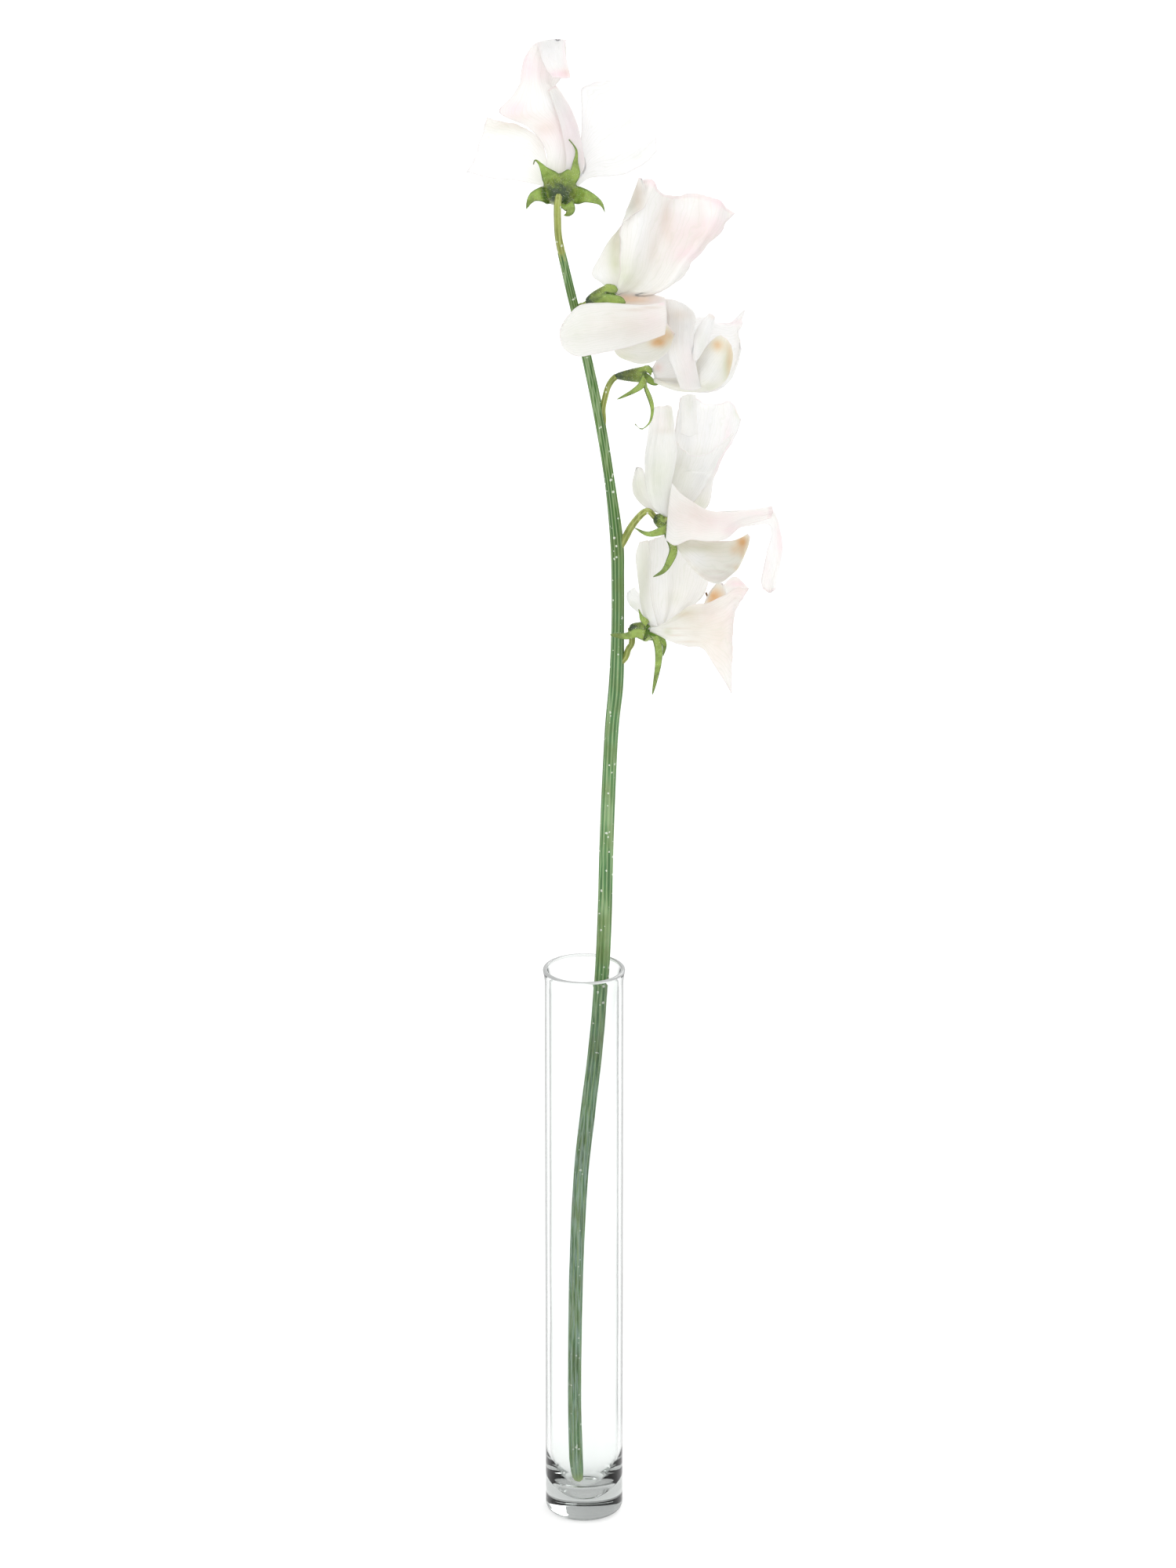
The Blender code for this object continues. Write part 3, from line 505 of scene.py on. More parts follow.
def from_corner(node, route):
    """A route measured from the low corner of a CAD node's box, in the row frame's millimetres."""
    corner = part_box(node)[0] / MM
    return [(*(corner + Vector(stop[:3])), stop[3]) for stop in route]


def link_object(name, data):
    """A new object in the scene."""
    made = bpy.data.objects.new(name, data)
    bpy.context.scene.collection.objects.link(made)
    return made


def bake(work, name, *materials):
    """Turns a bmesh into a smooth mesh with these materials."""
    mesh = bpy.data.meshes.new(name)
    work.to_mesh(mesh)
    work.free()
    for material in materials:
        mesh.materials.append(material)
    mesh.shade_smooth()
    return mesh


def close_up(mesh):
    """Merges doubles, turns faces outwards and shades smooth."""
    work = bmesh.new()
    work.from_mesh(mesh)
    bmesh.ops.remove_doubles(work, verts=work.verts, dist=0.002 * MM)
    bmesh.ops.recalc_face_normals(work, faces=work.faces)
    work.to_mesh(mesh)
    work.free()
    mesh.shade_smooth()


def thicken(piece, thickness):
    """Gives a sheet its thickness, half of it to each side."""
    shell = piece.modifiers.new("thickness", "SOLIDIFY")
    shell.thickness = thickness
    shell.offset = 0.0


def plain_mesh(piece, name):
    """Turns the evaluated piece into an object with a mesh of its own and no modifiers."""
    bpy.context.view_layer.update()
    ready = piece.evaluated_get(bpy.context.evaluated_depsgraph_get())
    mesh = bpy.data.meshes.new_from_object(ready)
    mesh.name = name
    bpy.data.objects.remove(piece, do_unlink=True)
    if not mesh.materials:
        raise RuntimeError(f"{name} came out with no material")
    return link_object(name, mesh)


def finish_piece(piece, node):
    """Fixes a finished piece to the frame in place of its CAD node."""
    if not piece.data.polygons:
        raise RuntimeError(f"{piece.name} has no faces")
    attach(piece, "root")
    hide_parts(node)


# ---------------------------------------------------------------------------- shapes

# The stem's centre line and radius, from the cut end up: (x, y, z, radius) in millimetres from
# the low corner of the CAD stem's box.
STEM = [
    (5.03, 1.69, 0.04, 0.5), (4.93, 1.79, 3.44, 1.8), (4.33, 2.69, 30.04, 1.85),
    (4.83, 4.29, 68.14, 1.95), (6.12, 5.29, 95.74, 2.05), (8.12, 5.88, 115.44, 2.05),
    (10.32, 6.38, 134.24, 2.0), (11.82, 6.88, 152.94, 1.95), (12.73, 7.88, 171.34, 1.95),
    (13.43, 9.69, 198.44, 1.9), (14.62, 10.69, 226.44, 1.85), (15.93, 10.69, 241.54, 1.95),
    (16.33, 10.69, 257.54, 1.7), (16.33, 10.69, 272.04, 1.7), (16.02, 10.69, 282.44, 1.75),
    (14.12, 10.69, 299.14, 1.35), (11.12, 9.69, 318.64, 1.35), (7.03, 8.69, 338.94, 1.25),
    (3.63, 7.69, 353.54, 1.15), (1.03, 7.29, 365.24, 1.05),
]

# Florets, in millimetres. "at" is where the floret's frame stands, from the low corner of its CAD
# calyx's box; "pedicel" is a route like the stem's, from the low corner of its CAD pedicel's box.
# The calyx is in the floret's own frame: (base, axis, tube length, base radius, rim radius,
# sepals), and a sepal is (taper, path from the rim to its tip).
FLORETS = {
    1: {
        "at": (10.25, 8.95, 15.52),
        "pedicel": [(0.53, 1.87, 4.49, 0.95), (1.43, 1.37, 7.09, 0.85), (2.43, 0.97, 9.29, 0.85)],
        "calyx": ((-4.6, 0.0, 0.9), (0.93, -0.2, -0.22), 5.0, 1.3, 2.6, [
            (1.6, [(-1.1, -2.4, 3.2), (-1.7, -2.2, 4.5), (-2.2, -1.4, 6)]),
            (0.5, [(-2.8, -4.4, -0.6), (-5.8, -5.4, -1.5), (-10.3, -5.6, -1.1)]),
            (0.6, [(1.9, -3.6, -1.5), (3.2, -3.6, -4.5), (3.2, -3.4, -8.8), (2.4, -3.2, -13.5),
                  (1.5, -3, -17.8)]),
            (0.8, [(3.2, 0.6, -1.5), (4.9, 1, -3.7), (4.5, 1.2, -7.1)]),
            (0.8, [(2.4, 2.6, 2.2), (3.2, 3.4, 4.1)])])},
    2: {
        "at": (7.58, 8.24, 12.35),
        "pedicel": [(0.28, 0.99, 0.59, 1.05), (1.78, 0.79, 3.59, 1.0), (3.58, 0.69, 6.29, 0.95),
                    (5.48, 0.59, 8.29, 0.9), (6.98, 0.39, 8.69, 0.8)],
        "calyx": ((-1.6, 0.8, 1.6), (0.85, -0.35, -0.394), 5.0, 1.4, 2.8, [
            (0.8, [(0.6, -3, 0.9), (0.2, -3.4, 2.4)]),
            (0.9, [(0.2, -4, -2.1), (-3.6, -4, -3), (-7.5, -3, -1.1)]),
            (0.7, [(3.4, -3.4, -6.9), (2.4, -3.4, -10.3), (0.6, -3.2, -13.1), (-2.4, -3.2, -14.8)]),
            (0.8, [(5.4, 3, -3.9), (7.5, 4.4, -5.1)]),
            (0.8, [(2.8, 2.6, 1.7), (1.5, 3.2, 3)])])},
    3: {
        "at": (2.81, 6.47, 12.49),
        "pedicel": [(-0.79, 1.94, 0.4, 0.85), (-0.89, 1.74, 3.7, 0.8), (-0.29, 1.44, 7.1, 0.8),
                    (0.51, 1.14, 10.1, 0.8), (1.61, 0.84, 12.2, 0.8)],
        "calyx": ((-3.2, 0.1, -0.4), (0.985, -0.16, 0.05), 8.2, 0.8, 2.1, [
            (0.8, [(6, -2, 0.9), (6.4, -2.4, -0.4)]),
            (0.7, [(3.8, -3.8, -3), (1.3, -4.2, -4.9), (-3, -3.6, -7)]),
            (1.5, [(5.1, -2.6, -3.8), (6.4, -2, -7.2), (6.8, -1.6, -9.8), (6.2, -1.2, -12.8),
                  (4, -1, -14.7), (1.9, -0.8, -13.2)]),
            (0.8, [(7.2, 1.4, -2.1), (8.5, 1.8, -2.6)]),
            (0.8, [(6.4, 1.8, 1.3), (7.2, 2.4, 0.9)])])},
    4: {
        "at": (0.46, 3.9, 5.13),
        "pedicel": [(0.29, 0.81, 0.75, 0.8), (0.74, 0.81, 0.95, 0.8)],
        "calyx": ((0.0, 0.0, 0.2), (0.96, -0.1, 0.26), 5.8, 1.6, 3.2, [
            (0.8, [(7.6, -2.4, 3.8), (8.5, -2.6, 3.8)]),
            (0.8, [(8.9, -3.6, 0.8), (10.6, -3.6, 0)]),
            (0.8, [(6.3, -1, -1.7), (5.9, -0.8, -3)]),
            (0.8, [(8, 4, 0.4), (10.1, 5.6, 0.8)]),
            (0.8, [(7.6, 1.8, 3.6), (8.5, 2, 3.6)])])},
    5: {
        "at": (8.5, -0.07, 8.32),
        "pedicel": [(1.87, 3.46, 0.26, 1.0), (1.17, 2.66, 4.46, 0.95), (0.97, 1.76, 9.46, 0.95),
                    (0.97, 0.96, 12.66, 0.95), (1.07, 1.36, 14.06, 0.9)],
        "calyx": ((0.1, 0.9, 0.0), (0.1, 0.92, 0.37), 5.4, 1.9, 4.4, [
            (1.8, [(4.4, 4.2, 6.5), (4.6, 4, 9.2), (4.8, 3.4, 12.6), (2.7, 4, 15.8)]),
            (1.2, [(7.1, 3.6, 0.4), (9.7, 3.2, -0.6), (11.6, 3.4, -1.9), (12.6, 4, -4.2)]),
            (0.9, [(2.1, 2.4, -1.7), (3.2, 1.8, -3.4), (2.7, 1.8, -4.6), (1.5, 2.6, -5)]),
            (0.9, [(-4.4, 3.6, 0.8), (-6.5, 3.2, 0.2), (-7.8, 3.4, -1.3), (-8.6, 4.2, -3.2)]),
            (2.5, [(-3.6, 3.6, 7.1), (-4.8, 3.4, 8.8), (-6.1, 3.6, 9.9), (-6.7, 4.2, 8.8)])])},
}


class Sheet(NamedTuple):
    """One sheet of a petal, in its floret's own frame in millimetres.

    The net has one row of points after another, from the claw to the margin. The ruffle is the
    depth of the margin's waves and waves is how close they stand, and the rim is how strongly
    the margin is coloured. For each pigment, tints has spots of (x, z, width, height, strength).
    """
    floret: int
    part: str
    ruffle: float
    net: list
    tints: dict
    waves: float = 3.0
    rim: float = 1.0


# tints: bright spots are painted light, tan spots painted shade, and some leaf spots painted grey-green
# shade
SHEETS = [
    Sheet(1, "standard", ruffle=0.4, waves=3.5, rim=0.25, net=[
        [(0.2, -1, 0.4), (0.6, -1.2, 0.9), (1.1, -1, 1.1), (1.5, -0.4, 1.3), (1.9, 0.2, 1.5)],
        [(2.2, -1.4, 0.9), (3.2, -1.8, 1.1), (4.5, -1.6, 1.3), (5.8, -0.8, 1.5), (6.9, 0.2, 1.7)],
        [(1.5, -1.6, 3.7), (4.1, -1.2, 4.3), (6.5, -0.4, 4.7), (8.4, 0.4, 4.7), (10.3, 1, 4.5)],
        [(0, -1.4, 8.6), (3.9, -0.4, 9.7), (8, 1.4, 10.3), (11.8, 2.2, 10.3), (15.5, 2, 9.9)],
        [(-0.2, -0.8, 14.4), (3.9, 1, 15.7), (8.8, 3.4, 16.6), (13.5, 4.4, 16.6), (17.4, 4, 15.5)],
        [(0, -0.2, 20.2), (4.5, 2.4, 21.7), (9.7, 5.2, 23), (14.4, 6.4, 23), (18.3, 5.8, 21.7)],
        [(0.2, 0, 24.7), (4.5, 3.8, 26.5), (9.7, 6.8, 27.7), (14.6, 8, 27.7), (17.8, 7.2, 26)]],
        tints={"bright": [(9.2, 15.1, 12.9, 12.9, 0.9), (8.6, 6.5, 6.5, 6.5, 0.6),
                          (4.3, 18.3, 2.6, 6.5, 0.5), (4.5, 2.4, 3, 2.2, 0.8)],
               "amber": [(9.2, 12.9, 12.9, 12.9, 0.07)],
               "leaf": [(7.1, 8.6, 3.4, 2.2, 0.3), (9.7, 14, 4.3, 6.5, 0.2)]}),
    Sheet(1, "standard", ruffle=0.1, rim=0.3, net=[
        [(2.4, -1.8, 0.4), (2.8, -2.4, 0.6), (3.2, -2.8, 0.9)],
        [(-0.2, -0.8, 2.8), (1.1, -2.4, 3.2), (2.4, -3.2, 3.7)],
        [(-1.5, 0.4, 7.5), (-0.2, -1.8, 8.2), (1.3, -3.2, 8.6)],
        [(-2.2, 1, 13.5), (-0.9, -1.2, 14), (0.9, -2.6, 14.4)],
        [(-2.8, 1.6, 20), (-1.1, -0.6, 20.2), (0.9, -2, 20.4)],
        [(-1.9, 2, 24.5), (-0.9, 0, 24.7), (0.4, -1.2, 24.9)]],
        tints={"leaf": [(-1.1, 12.9, 1.7, 10.8, 0.45)],
               "bright": [(2.4, 3.2, 2.2, 2.6, 0.5)]}),
    Sheet(1, "standard", ruffle=0.1, rim=0.0, net=[
        [(1.9, 0.8, 1.1), (2.2, 1, 0.9), (2.4, 0.8, 0.6)],
        [(-0.6, 1.2, 3.7), (0.2, 1.8, 4.5), (0.6, 2.2, 5.8)],
        [(-4.1, 2.4, 6.7), (-2.8, 3.2, 8), (-1.1, 3.8, 9.2)],
        [(-5.4, 3.2, 8.8), (-4.5, 4, 10.1), (-2.8, 4.6, 11.4)],
        [(-5.2, 4, 10.8), (-4.3, 4.6, 11.6), (-3, 5, 12.3)]],
        tints={"bright": [(-3.7, 9.2, 6.5, 6.5, 1.0)],
               "leaf": [(-4.1, 7.1, 2.2, 1.3, 0.4)]}),
    Sheet(1, "front_wing", ruffle=0.3, net=[
        [(1.1, -2.4, 0.9), (0.9, -2.8, 0.4), (0.9, -2.4, -0.2)],
        [(3.9, -3, 1.7), (3.7, -3.6, 0.4), (3.4, -3.2, -1.3)],
        [(8, -4.2, 4.3), (7.5, -6, 0.9), (6.7, -5.2, -3)],
        [(12.7, -6, 7.1), (11.8, -8.4, 1.5), (11.4, -7.4, -4.5)],
        [(17, -7, 7.7), (16.3, -9.4, 1.1), (15.3, -8.2, -4.9)],
        [(21.3, -7.2, 9.7), (20.6, -9.2, 2.2), (18.5, -8.2, -9.7)],
        [(24.7, -7, 11.6), (23.2, -8.6, 4.3), (21.3, -7.8, -14)],
        [(27.7, -6.6, 11.4), (23.9, -7.6, 3.2), (23.2, -7.2, -17.4)]],
        tints={"tan": [(15.1, 1.1, 8.6, 6.5, 0.45), (20.4, -6.5, 3.9, 7.3, 0.45),
                       (25.2, 11.4, 2.2, 2.6, 0.3), (8.8, 0.6, 2.6, 0.3, 0.5), (8, -1.3, 2.6, 0.3, 0.4),
                       (11, -3, 3.4, 0.3, 0.4)],
               "leaf": [(12.9, 0, 10.8, 5.6, 0.25), (11, 4.9, 5.6, 2.2, 0.4), (5.8, -0.2, 1.3, 1.1, 0.4)],
               "blush": [(19.4, -5.4, 4.3, 7.7, 0.15), (17.2, 4.3, 5.2, 3, 0.3), (23, 3.2, 1.7, 8.6, 0.3),
                         (25.8, 10.5, 2.6, 1.7, 0.5)],
               "amber": [(10.1, 4.3, 2.2, 0.9, 0.2)],
               "bright": [(8.8, -1.1, 6.5, 3, 0.6)]}),
    Sheet(1, "back_wing", ruffle=0.3, net=[
        [(3.7, 0.4, 1.1), (3.9, 0.6, 0.4), (4.1, 0.4, -0.2)],
        [(8.8, 2.4, 2.8), (9, 3, 1.3), (8.8, 2.6, -0.2)],
        [(14.4, 4.4, 6.2), (14.4, 5.6, 3.7), (14, 5, 0.6)],
        [(20.4, 5, 11.8), (20.4, 6.6, 7.3), (19.4, 5.6, 2.2)],
        [(24.3, 5, 15.1), (24.5, 6.2, 11.2), (23.7, 5.4, 5.4)],
        [(28.2, 4.8, 11.8), (27.3, 5.2, 10.3), (26, 4.8, 8.2)]],
        tints={"bright": [(16.1, 4.3, 10.8, 6.5, 0.6)],
               "blush": [(25.2, 13.3, 3.4, 1.3, 0.9)]}),
    Sheet(1, "keel", ruffle=0.0, net=[
        [(4.3, -2, 1.3), (3.9, -1.2, 0.2), (4.3, -0.4, 1.3)],
        [(8, -3, 1.7), (7.1, -1.6, -1.5), (8, 1.6, 1.7)],
        [(11.8, -3, 3), (11.8, -1.6, -2.4), (11.8, 1.8, 3)],
        [(15.1, -2.8, 5.6), (16.8, -1.6, 0.2), (15.1, 1.4, 5.6)],
        [(16.1, -2.2, 8.4), (20.6, -1.8, 4.9), (16.1, 0.8, 8.4)],
        [(17.4, -1.6, 11), (21.9, -1.4, 8.8), (17.4, 0, 11)],
        [(19.4, -1.2, 13.3), (20.9, -1, 13.1), (19.4, -0.4, 13.3)]],
        tints={"bright": [(18.7, 10.1, 6.5, 5.6, 0.9)],
               "amber": [(19.1, 9.7, 2.6, 2.6, 0.5)]}),
    Sheet(1, "keel", ruffle=0.1, rim=0.2, net=[
        [(15.3, -3.6, 7.1), (17, -4.2, 5.8), (19.1, -4, 4.5)],
        [(16.8, -3.8, 9), (18.7, -4.4, 8), (20.9, -4.2, 6.9)],
        [(18.3, -3.8, 11.4), (19.8, -4.2, 10.5), (21.5, -4, 9.7)],
        [(19.8, -3.6, 13.5), (20.2, -3.8, 12.9), (21.1, -3.6, 11.8)]],
        tints={"bright": [(18.7, 9.2, 6.5, 5.6, 1.0)],
               "amber": [(18.7, 9.2, 3, 3, 0.85), (17.8, 7.5, 1.1, 0.9, 0.5)],
               "leaf": [(19.1, 10.5, 2.2, 2.2, 0.3)]}),
    Sheet(2, "standard", ruffle=0.5, waves=4.0, rim=0.7, net=[
        [(1.9, -1.2, 1.7), (2.1, -0.6, 1.9), (2.6, 0.2, 2.1), (3, 0.6, 2.4), (3.4, 0.8, 2.6),
         (3.9, 1, 2.6), (4.1, 1.2, 2.4)],
        [(1.9, -0.6, 4.3), (3, 0.6, 5.1), (4.5, 1.6, 5.8), (6.2, 2.4, 6), (8.1, 3, 5.8), (10.5, 3.4, 5.1),
         (12.4, 4, 4.3)],
        [(1.9, 0.8, 11.3), (4.1, 2.8, 12), (6.4, 4.2, 12.8), (8.8, 5.2, 13.5), (11.3, 5.6, 12.8),
         (13.3, 5.4, 12), (14.6, 6.2, 12.4)],
        [(2.8, 2.2, 17.8), (5.1, 4.4, 18.8), (7.7, 5.8, 19.7), (10.5, 7, 20.1), (13.5, 7.4, 19.7),
         (15.8, 7, 18.4), (17.3, 8, 18.8)],
        [(3.9, 4, 24.2), (6, 6.2, 25.3), (8.6, 7.8, 26.1), (11.8, 9.2, 26.3), (15.2, 9.8, 25.7),
         (18.2, 9, 24), (19.9, 10, 23.1)],
        [(4.5, 5.6, 30), (6.6, 7.8, 30.4), (9.2, 9.4, 31.3), (12.4, 10.8, 31.3), (16.1, 11.4, 30.4),
         (19.3, 10.6, 28.9), (21.4, 11.6, 26.3)],
        [(5.6, 7.4, 34.7), (7.3, 9.4, 35.3), (9.6, 11, 35.1), (13.1, 12.4, 33.4), (16.5, 12.8, 33.4),
         (19.7, 12.2, 34), (22.5, 12.8, 29.3)]],
        tints={"bright": [(13.3, 25.3, 19.3, 12.8, 1.0)],
               "leaf": [(5.8, 10.3, 5.1, 6.4, 0.35), (7.9, 17.8, 5.6, 4.7, 0.2),
                        (21.8, 30.8, 1.5, 1.9, 0.6), (10.7, 4.9, 3, 3, 0.4)],
               "blush": [(18.6, 23.1, 1.5, 6.4, 0.7), (16.1, 16.7, 1.5, 5.1, 0.6)]}),
    Sheet(2, "standard", ruffle=0.2, rim=0.4, net=[
        [(1.7, -2.2, 1.9), (2.1, -2.4, 2.1), (2.6, -2.4, 2.4), (3.2, -2.2, 2.6), (3.9, -1.8, 2.6)],
        [(0.9, -1.6, 6), (2.4, -2.6, 6.6), (4.3, -3, 7.1), (6.6, -2.4, 7.3), (9.6, -1.2, 6.6)],
        [(0.6, -1, 11.3), (3, -2.4, 12.4), (5.8, -2.8, 13.1), (9.2, -2, 13.3), (13.1, 0, 12.2)],
        [(1.3, 0, 16.7), (3.9, -1.6, 16.3), (6.9, -1.8, 15), (10.7, -0.6, 14.1), (15, 2.2, 15.8)],
        [(2.8, 1.6, 24.6), (5.1, 0.2, 21.6), (8.1, 0, 18.8), (13.1, 1.4, 19.5), (20.3, 5.2, 25.3)]],
        tints={"bright": [(9, 14.6, 12.8, 12.8, 0.6)],
               "leaf": [(4.9, 12, 4.3, 7.3, 0.4)],
               "tan": [(6.2, 15, 2.6, 3.9, 0.2)]}),
    Sheet(2, "standard", ruffle=0.2, rim=0.3, net=[
        [(1.1, -2.6, 1.7), (1.5, -3, 1.7), (1.7, -3.2, 1.7), (1.9, -3.2, 1.7), (2.1, -3, 1.9)],
        [(-2.4, -1.4, 4.9), (-1.1, -2.6, 4.7), (0.2, -3.6, 4.7), (1.5, -4, 4.9), (2.6, -3.8, 5.4)],
        [(-4.1, 0, 10.7), (-2.4, -2, 10.7), (-0.6, -3.8, 10.9), (1.1, -4.4, 11.1), (3, -4.2, 11.3)],
        [(-4.3, 0.8, 16.3), (-2.4, -2, 16.7), (-0.2, -4.2, 16.7), (1.9, -4.8, 16.7), (4.1, -4.2, 16.7)],
        [(-3.9, 1.2, 21.4), (-2.1, -1.2, 21.6), (-0.2, -3, 21.6), (1.9, -3.4, 21.2), (4.3, -2.6, 20.8)],
        [(-3.2, 1.8, 26.1), (-1.5, 0, 26.3), (0.2, -1.4, 26.1), (1.9, -1.8, 25.7), (3.9, -1, 24.8)],
        [(-2.4, 2.6, 31), (-1.1, 1.6, 32.1), (0.4, 0.6, 32.1), (1.9, 0.2, 32.3), (3, 0.6, 32.1)]],
        tints={"bright": [(-0.2, 16.7, 8.6, 17.1, 0.7)],
               "leaf": [(-1.1, 12, 3.9, 8.6, 0.5), (2.6, 14.6, 1.7, 6.4, 0.2), (2.4, 29.1, 1.1, 3.9, 0.5)],
               "blush": [(-0.2, 28.3, 2.1, 3, 0.3)],
               "tan": [(0.6, 25.3, 3, 1.3, 0.3)]}),
    Sheet(2, "standard", ruffle=0.2, rim=0.4, net=[
        [(0.4, 0.6, 2.8), (0.9, 0.8, 2.6), (1.3, 0.6, 2.4)],
        [(-3.6, 1.4, 4.1), (-2.4, 2, 4.9), (-1.1, 1.6, 6)],
        [(-6.9, 2, 7.3), (-4.9, 2.8, 7.7), (-3, 2.2, 8.1)],
        [(-7.9, 2, 10.7), (-6.2, 2.8, 11.1), (-4.1, 2.4, 11.6)],
        [(-7.3, 1.8, 13.7), (-6.2, 2.4, 13.9), (-4.5, 2, 13.7)],
        [(-6.6, 1.4, 15.4), (-6, 1.6, 15.4), (-5.1, 1.4, 15)]],
        tints={"bright": [(-6.6, 12.4, 4.3, 6.4, 0.6)],
               "leaf": [(-6.2, 9.9, 2.6, 4.7, 0.6)]}),
    Sheet(2, "standard", ruffle=0.1, rim=0.2, net=[
        [(5.4, 1.2, 24.6), (7.7, 0.8, 23.8), (10.1, 1.6, 24.6)],
        [(5.6, 2, 29.6), (7.7, 1.6, 29.6), (9.9, 2.4, 29.6)],
        [(5.8, 4.4, 35.1), (7.7, 4.2, 35.5), (9.6, 4.8, 35.3)]],
        tints={"bright": [(7.7, 29.6, 3.4, 8.6, 0.7)],
               "leaf": [(7.9, 32.8, 1.1, 3, 0.3)]}),
    Sheet(2, "front_wing", ruffle=0.3, net=[
        [(3, -5.4, 10.9), (2.1, -5.8, 4.9), (1.3, -5.4, -4.7)],
        [(5.4, -6.2, 7.9), (4.5, -7.4, 2.1), (3.9, -6.6, -6.2)],
        [(8.6, -6.8, 5.6), (7.9, -8.8, 0.9), (7.9, -7.6, -4.7)],
        [(12.2, -7.2, 3.6), (12.2, -9.4, -0.9), (12.6, -8.2, -5.1)],
        [(17.6, -7.4, 2.8), (17.3, -9.2, -0.9), (17.6, -8, -4.5)],
        [(22.9, -6.4, 3.4), (22.5, -7.6, 1.3), (22.1, -6.8, -1.1)],
        [(30.2, -5.2, 4.5), (30.6, -5.6, 3), (30.2, -5.2, 1.5)]],
        tints={"blush": [(7.9, 1.3, 6.4, 5.6, 0.35), (16.5, 0.4, 7.7, 3.4, 0.4),
                         (19.7, -2.6, 3.4, 1.7, 0.45), (26.1, 2.6, 4.7, 1.1, 0.4)],
               "tan": [(9, 1.3, 7.3, 5.1, 0.4)],
               "bright": [(3.2, -2.6, 1.7, 3, 0.5)]}),
    Sheet(2, "back_wing", ruffle=0.3, net=[
        [(4.1, 0.4, 1.7), (4.3, 0.6, 0.9), (4.5, 0.4, 0)],
        [(13.3, 3, 3.2), (13.3, 3.8, 1.1), (12.8, 3.2, -1.3)],
        [(22.9, 5.8, 3.9), (23.1, 6.8, 1.7), (22.9, 6.2, -0.6)],
        [(29.1, 6, 4.3), (29.6, 7, 2.4), (29.1, 6.4, 0.2)],
        [(31.5, 5.8, 2.6), (31.5, 6.6, 0), (30.4, 6, -2.6)],
        [(33.2, 5.4, -3.4), (31.7, 6.2, -5.6), (29.3, 5.6, -6.9)],
        [(33.2, 5.2, -8.1), (31.3, 5.8, -10.3), (28.3, 5.2, -11.6)],
        [(31.9, 5, -14.1), (30.2, 5.4, -15), (27.6, 5, -15.2)],
        [(31.3, 5, -18), (29.8, 5.4, -18.8), (28.1, 5, -17.6)]],
        tints={"bright": [(30.4, -6.9, 6.4, 12.8, 0.9)],
               "blush": [(32.8, -4.7, 1.1, 5.6, 0.8), (28.9, -12.2, 1.3, 5.6, 0.4)]}),
    Sheet(2, "keel", ruffle=0.0, net=[
        [(4.9, -1.9, -4.7), (4.1, -1.1, -6), (4.9, -0.3, -4.7)],
        [(8.4, -3.6, -3.9), (7.5, -3.6, -11.1), (8.4, 2, -3.9)],
        [(12.2, -3.8, -4.7), (11.6, -4.4, -15), (12.2, 2.4, -4.7)],
        [(16.1, -3.6, -4.9), (16.1, -4.2, -16.1), (16.1, 2.2, -4.9)],
        [(19.5, -2.8, -4.7), (20.6, -3, -12.8), (19.5, 1.2, -4.7)],
        [(21.8, -2, -3.9), (23.3, -1.8, -6.9), (21.8, 0.2, -3.9)],
        [(23.6, -1.4, -2.8), (24, -1, -3.6), (23.6, -0.6, -2.8)]],
        tints={"bright": [(9.6, -9.4, 4.3, 3, 0.7)],
               "leaf": [(11.8, -6.9, 5.6, 1.3, 0.6)],
               "tan": [(8.8, -6.2, 3.9, 0.9, 0.35), (16.1, -7.9, 4.7, 3, 0.3), (7.3, -10.5, 1.1, 1.1, 0.3),
                       (9, -12.4, 1.3, 0.9, 0.35), (11.1, -14.1, 1.5, 0.7, 0.4),
                       (13.5, -15.2, 1.7, 0.6, 0.4), (16.3, -15.4, 1.7, 0.6, 0.4),
                       (18.6, -14.3, 1.3, 0.9, 0.45), (13.3, -13.1, 1.9, 0.4, 0.5),
                       (16.3, -13.3, 1.7, 0.4, 0.5), (18.6, -11.8, 1.3, 0.6, 0.5)],
               "amber": [(22.1, -4.9, 1.7, 1.9, 1.0), (20.1, -7.5, 1.5, 1.5, 0.5),
                         (22.3, -8.1, 1.1, 2.1, 0.5), (20.6, -12.2, 1.1, 1.3, 0.4)],
               "blush": [(13.3, -15, 7.3, 1.1, 0.3)]}),
    Sheet(3, "standard", ruffle=0.4, waves=3.5, rim=0.35, net=[
        [(6.8, 0.6, 1.7), (7, 1.2, 0.9), (7.2, 1.4, 0.2), (7.4, 1.2, -0.6), (7.7, 0.6, -1.5)],
        [(10.6, 1.6, 8.1), (11.7, 2.8, 5.5), (12.3, 3.2, 3.4), (12.8, 3, 0.9), (12.3, 2, -2.6)],
        [(15.3, 6, 14), (17, 5.4, 10.6), (17.9, 5, 7), (17.9, 4.2, 2.8), (17, 2.6, -4.3)],
        [(20.2, 8, 16.2), (22.6, 7.4, 12.8), (23.8, 6.2, 8.1), (23.6, 4.8, 2.1), (22.3, 3, -4.7)],
        [(24.3, 8.6, 14.9), (27.2, 8, 12.3), (28.5, 7, 8.5), (28.5, 5.4, 3.4), (26.8, 3.6, -2.6)],
        [(28.3, 9, 14.7), (29.4, 8.2, 13), (30.2, 7.2, 10.2), (30.4, 6, 6.8), (29.6, 4.4, 2.6)],
        [(32.3, 9, 18.1), (31.1, 8.2, 15.3), (30.6, 7.2, 12.3), (30.9, 6.2, 9.8), (30.6, 5.4, 7.2)]],
        tints={"bright": [(17, 3.8, 27.7, 23.4, 1.0)],
               "blush": [(28.9, 14.9, 5.1, 1.1, 0.6), (8.3, 2.1, 1.7, 1.7, 0.6)],
